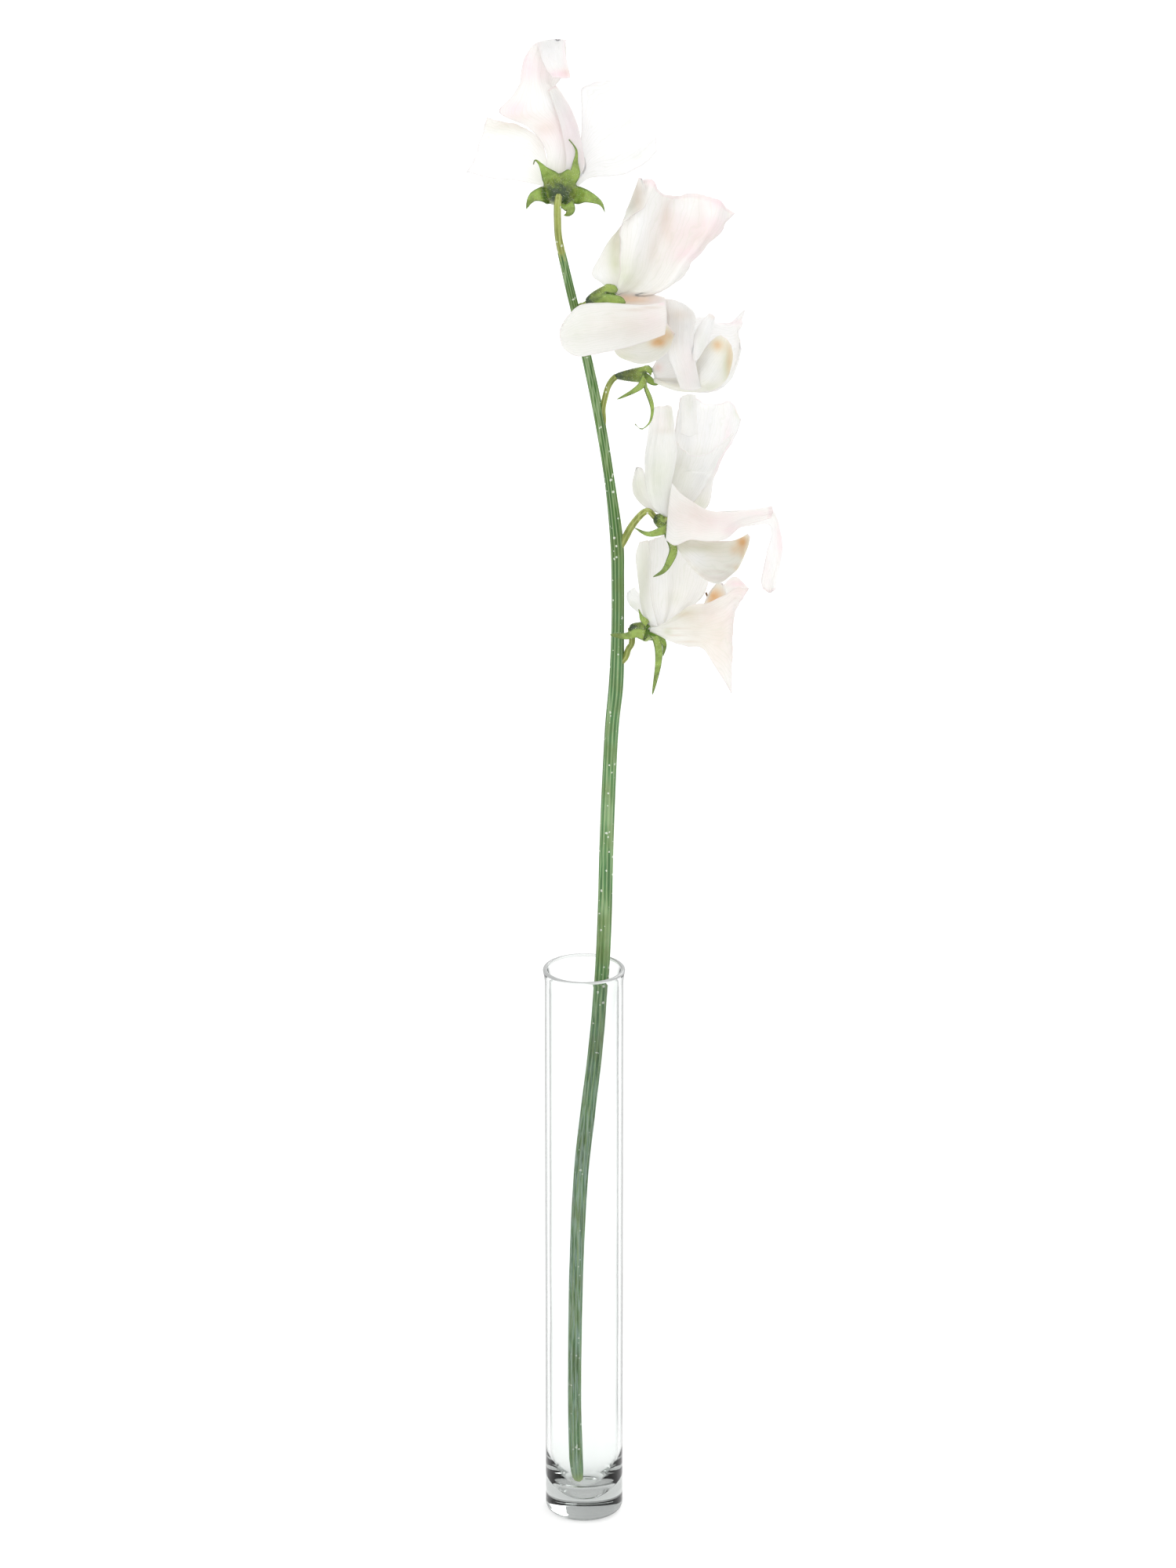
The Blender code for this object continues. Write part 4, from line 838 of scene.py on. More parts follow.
               "leaf": [(10.2, -2.8, 4.7, 0.6, 0.2)],
               "amber": [(8.3, 2.1, 1.1, 1.1, 0.3)]}),
    Sheet(3, "front_wing", ruffle=0.0, rim=0.3, net=[
        [(14.5, -3.4, -4), (16.4, -3.6, -4.3), (18.3, -3.6, -4.3), (20, -3.2, -3.8)],
        [(13, -4.2, 0), (15.1, -4.6, 0), (17.2, -4.6, 0.2), (18.9, -4, 0.9)],
        [(11.3, -4.8, 4.3), (13.6, -5.3, 4.5), (16, -5.3, 4.7), (18.1, -4.6, 5.1)],
        [(10.6, -5.2, 8.7), (13, -5.7, 8.9), (15.5, -5.7, 8.9), (17.9, -5, 8.9)],
        [(10.9, -5.4, 13.6), (13.2, -5.9, 13.8), (16, -6, 13.6), (18.3, -5.2, 13.2)],
        [(10.2, -5.4, 17.9), (12.8, -5.8, 18.5), (15.7, -6, 17.9), (18.3, -5.2, 16.2)],
        [(9.8, -5.2, 20.2), (12.1, -5.4, 20), (14.7, -5.6, 18.9), (16.8, -5.2, 17.9)]],
        tints={"bright": [(14.5, 8.1, 12.8, 19.1, 0.3), (11.9, 2.1, 1.3, 7.2, 0.8)],
               "blush": [(16.6, 1.7, 2.6, 7.2, 0.4), (10.2, 13.4, 1.1, 5.5, 0.4)],
               "tan": [(14.5, 15.7, 3.4, 1.9, 0.5)]}),
    Sheet(3, "back_wing", ruffle=0.0, rim=0.4, net=[
        [(17.9, -5.4, 3.6), (18.5, -5.6, 3.6), (18.9, -5.2, 3.6)],
        [(17.4, -4.6, 7.2), (19.1, -5.2, 6.8), (20.6, -4.6, 6.2)],
        [(18.1, -3.8, 10.6), (20.2, -4.4, 10.2), (22.1, -3.6, 9.4)],
        [(19.8, -3, 13.8), (21.7, -3.4, 13.4), (23.4, -2.8, 12.6)],
        [(22.1, -2.4, 16.4), (23, -2.6, 16.2), (23.8, -2.2, 15.5)]],
        tints={"bright": [(20.9, 10.2, 8.5, 10.6, 1.0)],
               "leaf": [(20.4, 8.1, 1.7, 4.3, 0.3)],
               "amber": [(23, 15.7, 1.1, 0.9, 0.3)]}),
    Sheet(3, "keel", ruffle=0.0, rim=0.7, net=[
        [(7.2, -0.2, -0.9), (7.2, -0.8, -1.5), (7.4, -0.4, -2.1)],
        [(12.3, -0.4, -2.6), (12.8, -1.4, -3.4), (13.2, -0.6, -4.3)],
        [(17, -0.8, -0.9), (17.9, -2.4, -3), (18.7, -0.8, -4.7)],
        [(18.7, -1.2, 3.4), (21.3, -3.8, -1.1), (23.6, -1, -4)],
        [(21.1, -1.4, 7), (24.5, -4.2, 3), (27.2, -1.2, -0.9)],
        [(23.4, -1.4, 9.6), (26.4, -3.6, 6.8), (28.7, -1.2, 4)],
        [(25.3, -1.2, 10.6), (27, -2.4, 9.4), (28.3, -1, 7.7)]],
        tints={"bright": [(20.9, 2.1, 4.7, 5.5, 0.8)],
               "amber": [(24.7, 7.9, 1.9, 1.9, 0.8), (27.9, 3.8, 1.1, 4.7, 0.6)],
               "leaf": [(27.4, 2.1, 1.7, 4.7, 0.8), (22.3, -3.2, 3, 1.3, 0.5)]}),
    Sheet(3, "keel", ruffle=0.0, rim=0.3, net=[
        [(7.4, 0.4, -0.9), (7.4, 0.6, -1.5), (7.7, 0.2, -2.1)],
        [(17.4, 1.6, 0), (18.3, 2.4, -2.1), (19.1, 0.8, -4.3)],
        [(21.3, 2, 6), (23.4, 3.2, 1.7), (26.4, 1.2, -1.7)],
        [(25.7, 1.4, 10), (27, 2, 8.1), (28.1, 1, 6)]],
        tints={"bright": [(20.2, 1.7, 12.8, 12.8, 0.8)]}),
    Sheet(4, "standard", ruffle=0.8, waves=6.0, net=[
        [(7.6, -1.5, 3), (8, -1.4, 2.7), (8.7, -1, 2.5), (9.3, -0.4, 2.3), (9.9, -0.4, 2.1),
         (10.6, -0.6, 1.9), (11, -0.2, 1.5)],
        [(8.5, -2.5, 5.9), (9.7, -3, 5.5), (11.6, -1.2, 4.9), (13.5, 0.8, 4), (15.9, 0.4, 3.4),
         (17.8, -0.8, 3), (19.5, 0.4, 3)],
        [(9.1, -3.2, 9.7), (11.4, -4.2, 9.3), (14.2, -1.6, 8.7), (16.7, 1.8, 7.6), (19.7, 0.6, 6.6),
         (22.4, -1.8, 5.7), (24.9, 0.4, 6.3)],
        [(9.1, -3.8, 15.2), (12.7, -5.2, 15.4), (16.1, -2.2, 14.8), (19, 2.8, 13.3), (22.6, 1.2, 12.1),
         (25.8, -2.6, 10.6), (28.8, 0.6, 11.4)],
        [(9.1, -4.2, 20.5), (13.5, -5.6, 21.1), (17.3, -2.8, 20.5), (20.9, 3.6, 18.8), (25.4, 2.2, 17.3),
         (29.6, -2.8, 15.6), (32.8, 1, 16.1)],
        [(11.2, -4, 25.8), (14.8, -5.4, 26.6), (19, -3.2, 25.8), (22.6, 4, 24.1), (27.9, 3.4, 22.8),
         (33.2, -2.2, 20.5), (36.6, 1.6, 20.3)],
        [(14.4, -3.2, 33.4), (17.3, -4.4, 33.2), (20.7, -2.8, 29.6), (24.1, 3.6, 29.6), (28.8, 4, 30.2),
         (34.9, -0.4, 28.3), (40.2, 1.8, 24.7)]],
        tints={"blush": [(33, 20.3, 6.8, 4.2, 0.7), (27.5, 13.3, 5.1, 2.5, 0.6),
                         (24.1, 20.7, 3.4, 6.3, 0.35), (18, 32.6, 1.9, 1.5, 0.8),
                         (35.3, 27.5, 3, 1.7, 0.8)],
               "tan": [(31.1, 18.2, 5.5, 3.4, 0.3), (22, 21.8, 1.9, 5.9, 0.55),
                       (18.4, 13.3, 1.7, 4.7, 0.35), (12.3, 1.1, 7.2, 1.3, 0.8)],
               "leaf": [(11, 7.6, 4.7, 5.5, 0.6)],
               "amber": [(13.5, 1.7, 6.3, 1.1, 0.6)],
               "bright": [(14.8, 20.7, 2.1, 7.6, 0.6), (26.2, 26.6, 3.4, 3, 0.5)]}),
    Sheet(4, "standard", ruffle=0.3, net=[
        [(7.6, 0.9, 3), (8.2, 0.4, 3), (9.1, 0, 3)],
        [(4.2, 1.4, 5.7), (6.6, 0.8, 6.3), (9.5, -0.6, 7)],
        [(1.5, 2.2, 8.2), (5.3, 1.4, 9.7), (9.7, -1, 10.6)],
        [(3.4, 3, 12.9), (6.3, 1.8, 14), (9.7, -1.4, 15.2)],
        [(6.3, 3, 17.5), (8, 1.4, 18.2), (9.7, -2, 19)],
        [(8.9, 1, 20.7), (9.3, 0, 20.9), (9.7, -2.4, 21.4)]],
        tints={"leaf": [(8, 14, 2.5, 7.2, 0.9)],
               "tan": [(8.5, 16.5, 1.7, 5.5, 0.35)],
               "bright": [(3.8, 7.6, 2.5, 2.1, 0.8)]}),
    Sheet(4, "standard", ruffle=0.1, net=[
        [(9.5, -5.4, 21.1), (9.9, -5.8, 21.6), (10.6, -6, 22)],
        [(10.8, -5.2, 24.7), (11.8, -6.2, 24.3), (12.9, -6.6, 23.9)],
        [(11.6, -5, 27.1), (13.5, -6.6, 26.2), (15.4, -7, 25.4)],
        [(12.7, -4.8, 29.8), (14.4, -6.6, 28.8), (16.3, -7, 27.5)],
        [(13.5, -4.4, 31.7), (14.6, -5.8, 30.9), (15.9, -6.2, 30)],
        [(14.2, -3.8, 33.6), (14.6, -4.4, 33.6), (15, -4.8, 33.4)]],
        tints={"tan": [(13.7, 27.9, 1.9, 4.7, 0.75)],
               "leaf": [(12.3, 26.6, 2.1, 4.2, 0.4)]}),
    Sheet(4, "standard", ruffle=0.0, rim=0.3, net=[
        [(7.2, -1.2, 2.3), (8, -1.6, 0.8), (8.9, -1.8, -1.3)],
        [(11, -0.6, 3), (11.6, -1.4, 1.1), (12.3, -1.8, -1.3)],
        [(15.6, 0.2, 3), (16.1, -0.8, 1.1), (16.5, -1.2, -1.3)],
        [(21.1, 0.8, 1.9), (21.6, 0.4, 0.4), (21.6, 0.2, -1.1)]],
        tints={"tan": [(12.3, 1.3, 5.5, 1.7, 1.0)],
               "amber": [(11.8, 1.3, 5.5, 1.3, 0.7)],
               "blush": [(18.4, 0.8, 3, 1.7, 0.4)]}),
    Sheet(4, "front_wing", ruffle=0.35, net=[
        [(21.1, -4, 0.4), (21.6, -5.2, -3.4), (21.1, -4.6, -8.5)],
        [(15.6, -4.6, -0.6), (16.5, -6.8, -5.1), (16.1, -5.6, -10.4)],
        [(9.9, -5, -0.2), (10.4, -8.6, -5.9), (9.9, -7, -12.3)],
        [(3.6, -6, 0), (3.4, -9.6, -6.8), (3.6, -8, -13.7)],
        [(-1.7, -7, -0.8), (-2.1, -9.4, -7.6), (-2.1, -8, -14.6)],
        [(-4.7, -7.6, -3.4), (-5.7, -8.8, -8.5), (-5.3, -7.8, -13.1)],
        [(-6.6, -8, -5.9), (-7.2, -8.4, -8.9), (-6.6, -8, -11.6)]],
        tints={"tan": [(9.9, -6.1, 9.3, 4.7, 0.4), (12.7, -2.1, 3, 0.4, 0.5), (17.3, -1.3, 3, 0.4, 0.5)],
               "blush": [(20.3, -0.2, 1.3, 0.6, 0.6), (17.3, -4.7, 5.1, 4.2, 0.35)],
               "bright": [(12.7, -0.6, 5.5, 0.6, 0.6), (-3.4, -5.1, 2.5, 3, 0.4)],
               "leaf": [(-2.7, -7.8, 3.8, 5.1, 0.3)]}),
    Sheet(4, "back_wing", ruffle=0.3, net=[
        [(11, 1.5, 0.8), (11, 1.8, 0), (11, 1.5, -0.8)],
        [(17.3, 3.5, 0.6), (17.8, 4.4, -2.5), (17.8, 3.8, -5.9)],
        [(23.3, 4.5, 0), (23.7, 6, -3.4), (23.3, 5, -7.8)],
        [(27.1, 4.4, -0.6), (27.5, 5.8, -3.8), (26.6, 5, -8.9)],
        [(29.2, 3.8, -3), (29.2, 4.4, -5.1), (28.1, 4, -8)]],
        tints={"bright": [(24.9, -4.2, 6.3, 6.3, 0.8)],
               "tan": [(24.1, -3.4, 3, 1.3, 0.35)],
               "blush": [(27.9, -3, 2.1, 2.5, 0.3)]}),
    Sheet(4, "keel", ruffle=0.0, net=[
        [(8.9, -1.8, -0.8), (8, -0.4, -3), (8.9, 1, -0.8)],
        [(10.1, -3.2, -7.8), (7.6, -0.4, -12.3), (10.1, 2.6, -7.8)],
        [(13.5, -3.6, -10.6), (11.6, -0.4, -15.4), (13.5, 2.8, -10.6)],
        [(17.3, -3.2, -9.3), (16.9, -0.4, -15.9), (17.3, 2.4, -9.5)],
        [(20.1, -2.4, -7), (21.4, -0.3, -12.9), (20.1, 1.6, -7.2)],
        [(21.6, -1.4, -5.1), (23.9, -0.2, -8), (21.6, 0.6, -5.3)]],
        tints={"amber": [(19, -10.6, 2.1, 1.3, 1.0), (21.6, -8.5, 2.5, 1.9, 0.7)],
               "leaf": [(11, -14.2, 4.2, 1.1, 0.4)],
               "bright": [(13.5, -13.5, 3, 1.3, 0.4)]}),
    Sheet(5, "standard", ruffle=0.25, net=[
        [(-2.3, 6, 4.2), (-1.1, 6, 4.2), (0.6, 6.2, 4.2), (2.1, 6.2, 4.2), (3.8, 6.4, 4.2)],
        [(-3.2, 6.6, 8), (-1.3, 6.2, 8.4), (0.8, 6.4, 8.6), (3.6, 7, 8.6), (7.4, 7.6, 7.8)],
        [(-3.4, 7.2, 13), (-1.1, 6.6, 13.9), (1.3, 6.8, 14.5), (3.8, 7.6, 14.7), (6.5, 8.4, 13.5)],
        [(-8, 8.8, 19.3), (-4.2, 7, 18.9), (-0.4, 6.4, 19.8), (2.3, 7.4, 20.2), (4.8, 8.6, 19.8)],
        [(-15.8, 10.6, 23.3), (-10.1, 8.6, 22.7), (-4.2, 5.8, 23.8), (0, 6.8, 25), (3.2, 8.8, 24.6)],
        [(-13, 10.4, 27.1), (-9.2, 8.4, 27.7), (-5, 6.6, 28.4), (-1.7, 7.4, 28.8), (1.3, 9, 27.3)],
        [(-10.3, 10, 30.7), (-8.2, 8.4, 31.7), (-5.5, 7.4, 32.2), (-3.2, 8, 31.7), (-0.8, 9, 30.1)],
        [(-9.9, 10, 34.5), (-8, 8.6, 35.3), (-5.7, 8.4, 35.7), (-2.5, 8.8, 35.3), (0.8, 9.4, 32.8)],
        [(-9, 10, 38.3), (-7.1, 9, 39.1), (-4.6, 9.2, 39.5), (-1.3, 9.4, 39.3), (2.1, 9.8, 37.4)],
        [(-6.7, 9.8, 41.6), (-4.8, 9.6, 42.5), (-2.5, 9.4, 42.9), (-0.2, 9.4, 43.1), (1.9, 9.6, 42.9)]],
        tints={"blush": [(-6.3, 34.7, 4.6, 3.8, 0.6), (-2.5, 17.9, 3.8, 4.2, 0.5),
                         (-12, 24.2, 5.5, 2.9, 0.65), (0.8, 21, 2.1, 10.5, 0.4),
                         (5.5, 17.9, 1.7, 8.4, 0.4), (-8.4, 36.8, 1.7, 5.5, 0.5)],
               "tan": [(-2.9, 18.9, 3.4, 1.9, 0.5), (-9.2, 21.9, 4.2, 1.3, 0.3)],
               "leaf": [(0, 5.3, 5.5, 4.2, 0.4)],
               "bright": [(-4.6, 25.9, 4.2, 2.5, 0.8), (0.6, 11.6, 3.4, 6.3, 0.5)]}),
    Sheet(5, "standard", ruffle=0.0, net=[
        [(0.2, 5.8, 4.2), (1.9, 5.7, 4.2), (3.6, 5.8, 4.2)],
        [(2.1, 5, 8.2), (4.4, 4.6, 8.6), (6.9, 5.4, 8)],
        [(1.7, 5, 14.3), (4, 4.4, 14.7), (6.3, 5.4, 14.5)],
        [(0.2, 5, 20.8), (2.3, 4.8, 21.2), (4.6, 6.2, 21)],
        [(-1.3, 5.4, 25.2), (0.2, 5.4, 25.9), (2.5, 7, 25.9)],
        [(-2.7, 6.2, 29), (-1.7, 6.6, 29.9), (-0.6, 7.4, 30.3)]],
        tints={"bright": [(3.4, 16.8, 4.2, 12.6, 0.6)],
               "blush": [(3.4, 18.9, 2.9, 12.6, 0.55), (6.7, 10.5, 1.1, 6.3, 0.4)]}),
    Sheet(5, "standard", ruffle=0.0, rim=0.7, net=[
        [(-6.1, 9, 42), (-2.5, 8.8, 42.9), (2.1, 9, 42.9)],
        [(-5, 7.2, 39.5), (-1.9, 6.8, 39.9), (1.7, 7.4, 40.4)],
        [(-4.2, 5.4, 36.6), (-1.3, 5, 36.6), (2.3, 5.6, 36.6)],
        [(-2.9, 4.2, 34.1), (-0.2, 3.8, 34.1), (2.9, 4.4, 34.3)],
        [(-1.5, 3.8, 32.2), (0.6, 3.5, 32), (3.2, 3.8, 32.2)]],
        tints={"bright": [(-1.7, 38.7, 5, 5, 1.0)],
               "blush": [(0.6, 33, 4.2, 1.3, 1.0), (1.9, 38.9, 1.1, 5.5, 0.5),
                         (-5.5, 39.5, 1.1, 3.4, 0.4)],
               "tan": [(2.5, 33.6, 1.7, 1.3, 0.5)]}),
    Sheet(5, "left_wing", ruffle=0.5, waves=3.5, rim=0.5, net=[
        [(-2.7, 5.8, 2.9), (-2.9, 5.8, 4.2), (-2.5, 6, 5.5)],
        [(-7.6, 9, 4.2), (-7.6, 10, 9.5), (-4.6, 10, 15.6)],
        [(-13, 11.6, 5.5), (-13.5, 13, 12.6), (-10.9, 12.6, 20.2)],
        [(-18.9, 13, 6.1), (-18.9, 14.4, 13), (-16, 14, 21.4)],
        [(-24.8, 13.4, 7.6), (-22.3, 14.6, 12.6), (-19.3, 14.4, 22.5)]],
        tints={"bright": [(-15.1, 7.4, 12.6, 7.1, 1.0), (-21.4, 9.5, 4.6, 5, 0.7),
                          (-15.1, 16.8, 12.6, 4.2, 0.6)],
               "tan": [(-12, 20.6, 10.1, 1.7, 0.45), (-4.6, 14.7, 2.9, 2.9, 0.3)],
               "leaf": [(-13, 18.9, 10.5, 2.5, 0.3), (-4.6, 6.3, 3.4, 3.8, 0.4)]}),
    Sheet(5, "right_wing", ruffle=0.3, waves=4.0, rim=0.35, net=[
        [(4.4, 5.9, 2.5), (5, 5.9, 4.2), (5.3, 6, 5.9)],
        [(8.4, 8.4, 5.5), (8.4, 8.8, 11.6), (6.3, 9.2, 17.9)],
        [(13.5, 9.2, 6.1), (13.9, 9.6, 15.1), (6.3, 10.2, 24.8)],
        [(18.5, 9.6, 7.1), (18.5, 10.2, 17.4), (6.3, 10.8, 29.6)],
        [(23.1, 9.8, 9.5), (22.3, 10.6, 21), (10.1, 11.2, 31.7)],
        [(26.5, 10, 13), (24.8, 10.6, 23.1), (15.8, 11.4, 32.4)]],
        tints={"bright": [(18.5, 17.9, 18.9, 21, 1.0), (9, 23.1, 12.6, 16.8, 1.0),
                          (6.9, 10.5, 6.3, 10.5, 1.0)],
               "blush": [(11.1, 31.3, 5, 0.8, 0.3)],
               "leaf": [(21.7, 11.4, 2.5, 1.1, 0.3)]}),
]

# The brown thread that stands above the lowest floret's keel, in that floret's frame.
STYLE = [(18.4, -0.8, 8.9, 0.25), (16.9, -0.8, 9.4, 0.25), (16.3, -0.8, 10.6, 0.25)]


# ---------------------------------------------------------------------------- geometry node trees

def new_tree(name, inputs):
    """A geometry node tree, and the outputs of its input node by name."""
    tree = bpy.data.node_groups.new(name, "GeometryNodeTree")
    for label, kind in {"Geometry": "Geometry", **inputs}.items():
        tree.interface.new_socket(label, in_out="INPUT", socket_type=f"NodeSocket{kind}")
    tree.interface.new_socket("Geometry", in_out="OUTPUT", socket_type="NodeSocketGeometry")
    return tree, add_node(tree, "NodeGroupInput").outputs


def dress(tree, shape, material):
    """Makes a shape's instances real and gives it its material."""
    real = add_node(tree, "GeometryNodeRealizeInstances", {0: shape}).outputs[0]
    return add_node(tree, "GeometryNodeSetMaterial", {0: real, "Material": material}).outputs[0]


def ribbed_rod_tree():
    """Sweeps a ribbed outline along a curve whose point radius is the rod's radius in metres."""
    tree, given = new_tree("ribbed rod", {"Sides": "Int", "Ribs": "Int", "Rib depth": "Float",
                                          "Material": "Material"})
    ring = add_node(tree, "GeometryNodeCurvePrimitiveCircle",
                    {"Resolution": given["Sides"], "Radius": 1.0}).outputs[0]
    turn = add_node(tree, "GeometryNodeSplineParameter").outputs["Factor"]
    for times in (math.tau, given["Ribs"]):
        turn = add_node(tree, "ShaderNodeMath", {0: turn, 1: times}, operation="MULTIPLY").outputs[0]
    crest = add_node(tree, "ShaderNodeMath", {0: turn}, operation="COSINE").outputs[0]
    ring = add_node(tree, "GeometryNodeStoreNamedAttribute",
                    {"Geometry": ring, "Name": "rib", "Value": crest}, domain="POINT").outputs[0]
    swell = add_node(tree, "ShaderNodeMath", {0: crest, 1: given["Rib depth"]},
                     operation="MULTIPLY").outputs[0]
    here = add_node(tree, "GeometryNodeInputPosition").outputs[0]
    push = add_node(tree, "ShaderNodeVectorMath", {0: here, "Scale": swell},
                    operation="SCALE").outputs[0]
    ring = add_node(tree, "GeometryNodeSetPosition", {"Geometry": ring, "Offset": push}).outputs[0]
    radius = add_node(tree, "GeometryNodeInputRadius").outputs[0]
    rod = add_node(tree, "GeometryNodeCurveToMesh",
                   {"Curve": given["Geometry"], "Profile Curve": ring, "Scale": radius,
                    "Fill Caps": True}).outputs[0]
    add_node(tree, "NodeGroupOutput", {0: dress(tree, rod, given["Material"])})
    return tree


def hair_tree():
    """Scatters fine tapered hairs over a surface and keeps the surface under them."""
    tree, given = new_tree("fine hairs", {"Hairs": "Float", "Length": "Float", "Radius": "Float",
                                          "Seed": "Int", "Material": "Material"})
    spots = add_node(tree, "GeometryNodeDistributePointsOnFaces",
                     {"Mesh": given["Geometry"], "Density": given["Hairs"],
                      "Seed": given["Seed"]}).outputs
    cone = add_node(tree, "GeometryNodeMeshCone",
                    {"Vertices": 4, "Side Segments": 1, "Fill Segments": 1, "Radius Top": 0.0,
                     "Radius Bottom": given["Radius"], "Depth": given["Length"]}).outputs[0]
    # a hair is 0.5 to 1.1 times the length, leans up to 0.5 radians and turns to any side
    size = add_node(tree, "FunctionNodeRandomValue", {2: 0.5, 3: 1.1, "Seed": given["Seed"]},
                    data_type="FLOAT").outputs[1]
    lean = add_node(tree, "FunctionNodeRandomValue",
                    {0: (-0.5, -0.5, 0.0), 1: (0.5, 0.5, 6.28), "Seed": given["Seed"]},
                    data_type="FLOAT_VECTOR").outputs[0]
    turned = add_node(tree, "FunctionNodeRotateRotation", {0: spots["Rotation"], 1: lean},
                      rotation_space="LOCAL").outputs[0]
    hairs = add_node(tree, "GeometryNodeInstanceOnPoints",
                     {"Points": spots["Points"], "Instance": cone, "Rotation": turned,
                      "Scale": size}).outputs[0]
    joined = add_node(tree, "GeometryNodeJoinGeometry", {0: given["Geometry"]})
    fill_inputs(tree, joined, {0: dress(tree, hairs, given["Material"])})
    add_node(tree, "NodeGroupOutput", {0: joined.outputs[0]})
    return tree


def add_tree(piece, tree, values):
    """Puts the node tree on the piece, with its named inputs set."""
    modifier = piece.modifiers.new(tree.name, "NODES")
    modifier.node_group = tree
    for item in tree.interface.items_tree:
        if item.item_type == "SOCKET" and item.in_out == "INPUT" and item.name in values:
            modifier[item.identifier] = values[item.name]


# ---------------------------------------------------------------------------- pieces

def shares(count, first=1):
    """Shares of a way in equal steps, the last of them the whole."""
    return [k / count for k in range(first, count + 1)]


def vase_profile(vase):
    """The glass wall's outline, from the middle of the base round to the bowl's lowest point."""
    bore = vase.radius - vase.wall
    neck = vase.height - vase.lip
    ring = vase.radius - vase.foot
    bend = vase.wall / 2
    bowl_top = vase.base + vase.bowl
    outline = [(0.0, vase.punt)]
    outline += [(ring * (0.5 + 0.5 * t), vase.punt * (1 - t ** 2)) for t in shares(PUNT_STEPS, 0)]
    for t in shares(FOOT_STEPS):
        turn = t * math.pi / 2
        outline.append((ring + vase.foot * math.sin(turn), vase.foot * (1 - math.cos(turn))))
    outline += [(vase.radius, vase.foot + (neck - vase.foot) * t) for t in shares(WALL_STEPS)]
    flare = [(vase.flare * t ** 2, neck + (vase.lip - bend) * t) for t in shares(FLARE_STEPS)]
    outline += [(vase.radius + out, z) for out, z in flare]
    for t in shares(LIP_STEPS)[:-1]:
        turn = t * math.pi
        outline.append((bore + vase.flare + bend * (1 + math.cos(turn)),
                        vase.height - bend * (1 - math.sin(turn))))
    outline += [(bore + out, z) for out, z in reversed(flare)]
    outline += [(bore, neck + (bowl_top - neck) * t) for t in shares(WALL_STEPS, 0)[:-1]]
    for t in shares(BOWL_STEPS, 0):
        turn = t * math.pi / 2
        outline.append((bore * math.cos(turn), vase.base + vase.bowl * (1 - math.sin(turn))))
    return outline


class SWEETPEA_OT_vase(bpy.types.Operator):
    """Turns the glass vase from its outline"""
    bl_idname = "sweetpea.vase"
    bl_label = "Glass Vase"

    def execute(self, context):
        vase = settings().vase
        work = bmesh.new()
        line = [work.verts.new((max(r, 0.0), 0.0, z)) for r, z in vase_profile(vase)]
        edges = [work.edges.new(pair) for pair in zip(line, line[1:])]
        bmesh.ops.spin(work, geom=line + edges, cent=(0, 0, 0), axis=(0, 0, 1),
                       angle=math.tau, steps=VASE_SIDES, use_merge=True)
        mesh = bake(work, "glass_vase", glass_material(), rim_material())
        close_up(mesh)
        rim = len(mesh.materials) - 1
        for face in mesh.polygons:
            if face.center.z > vase.height - vase.wall * 0.6:
                face.material_index = rim
        finish_piece(link_object("glass_vase", mesh), "vase")
        return {"FINISHED"}


def ribbed_rod(name, route, steps, tree, values):
    """A ribbed rod along a smooth route of (x, y, z, radius) in millimetres."""
    stops = [Vector(stop) * MM for stop in route]
    curve = bpy.data.curves.new(name, "CURVE")
    curve.dimensions = "3D"
    spline = curve.splines.new("POLY")
    spline.points.add(steps)
    for i, point in enumerate(spline.points):
        *place, point.radius = smooth_through(stops, i / steps)
        point.co = (*place, 1.0)
    piece = link_object(f"{name}_path", curve)
    add_tree(piece, tree, values)
    made = plain_mesh(piece, name)
    close_up(made.data)
    return made


def pedicel_route(number, floret, centre):
    """A pedicel's route, from the stem's centre line into its calyx."""
    base, axis = floret["calyx"][:2]
    seat = floret_place(number) @ (Vector(base) + Vector(axis).normalized() * CALYX_SINK) / MM
    path = from_corner(f"floret_{number}_pedicel", floret["pedicel"])
    joint = Vector(path[0][:3]) - Vector((0, 0, PEDICEL_SLANT))
    root = min(centre, key=lambda spot: (spot - joint).length)
    return [(*root, path[0][3]), *path, (*seat, path[-1][3])]


class SWEETPEA_OT_stem(bpy.types.Operator):
    """Grows the ribbed stem and its five pedicels"""
    bl_idname = "sweetpea.stem"
    bl_label = "Stem and Pedicels"

    def execute(self, context):
        stem = settings().stem
        tree = ribbed_rod_tree()
        skin = green_material("waxy stem skin", stem.low, stem.high, "#A6BD8E")
        line = from_corner("stem", STEM)
        made = ribbed_rod("stem_skin", line, STEM_STEPS, tree,
                          {"Sides": stem.sides, "Ribs": stem.ribs, "Rib depth": stem.rib_depth,
                           "Material": skin})
        finish_piece(made, "stem")
        young = green_material("young pedicel skin", stem.young, stem.young, "#B9C17C")
        stops = [Vector(stop[:3]) for stop in line]
        centre = [smooth_through(stops, t) for t in shares(CENTRE_STEPS, 0)]
        for number, floret in FLORETS.items():
            name = f"floret_{number}_pedicel"
            made = ribbed_rod(f"{name}_skin", pedicel_route(number, floret, centre), PEDICEL_STEPS,
                              tree, {"Sides": 36, "Ribs": 6, "Rib depth": 0.05, "Material": young})
            finish_piece(made, name)
        return {"FINISHED"}


def ring_directions(axis):
    """Two unit vectors square to the axis: up, and the side that is 90 degrees clockwise."""
    side = axis.cross(Vector((0, 0, 1))).normalized()
    return side.cross(axis).normalized(), side


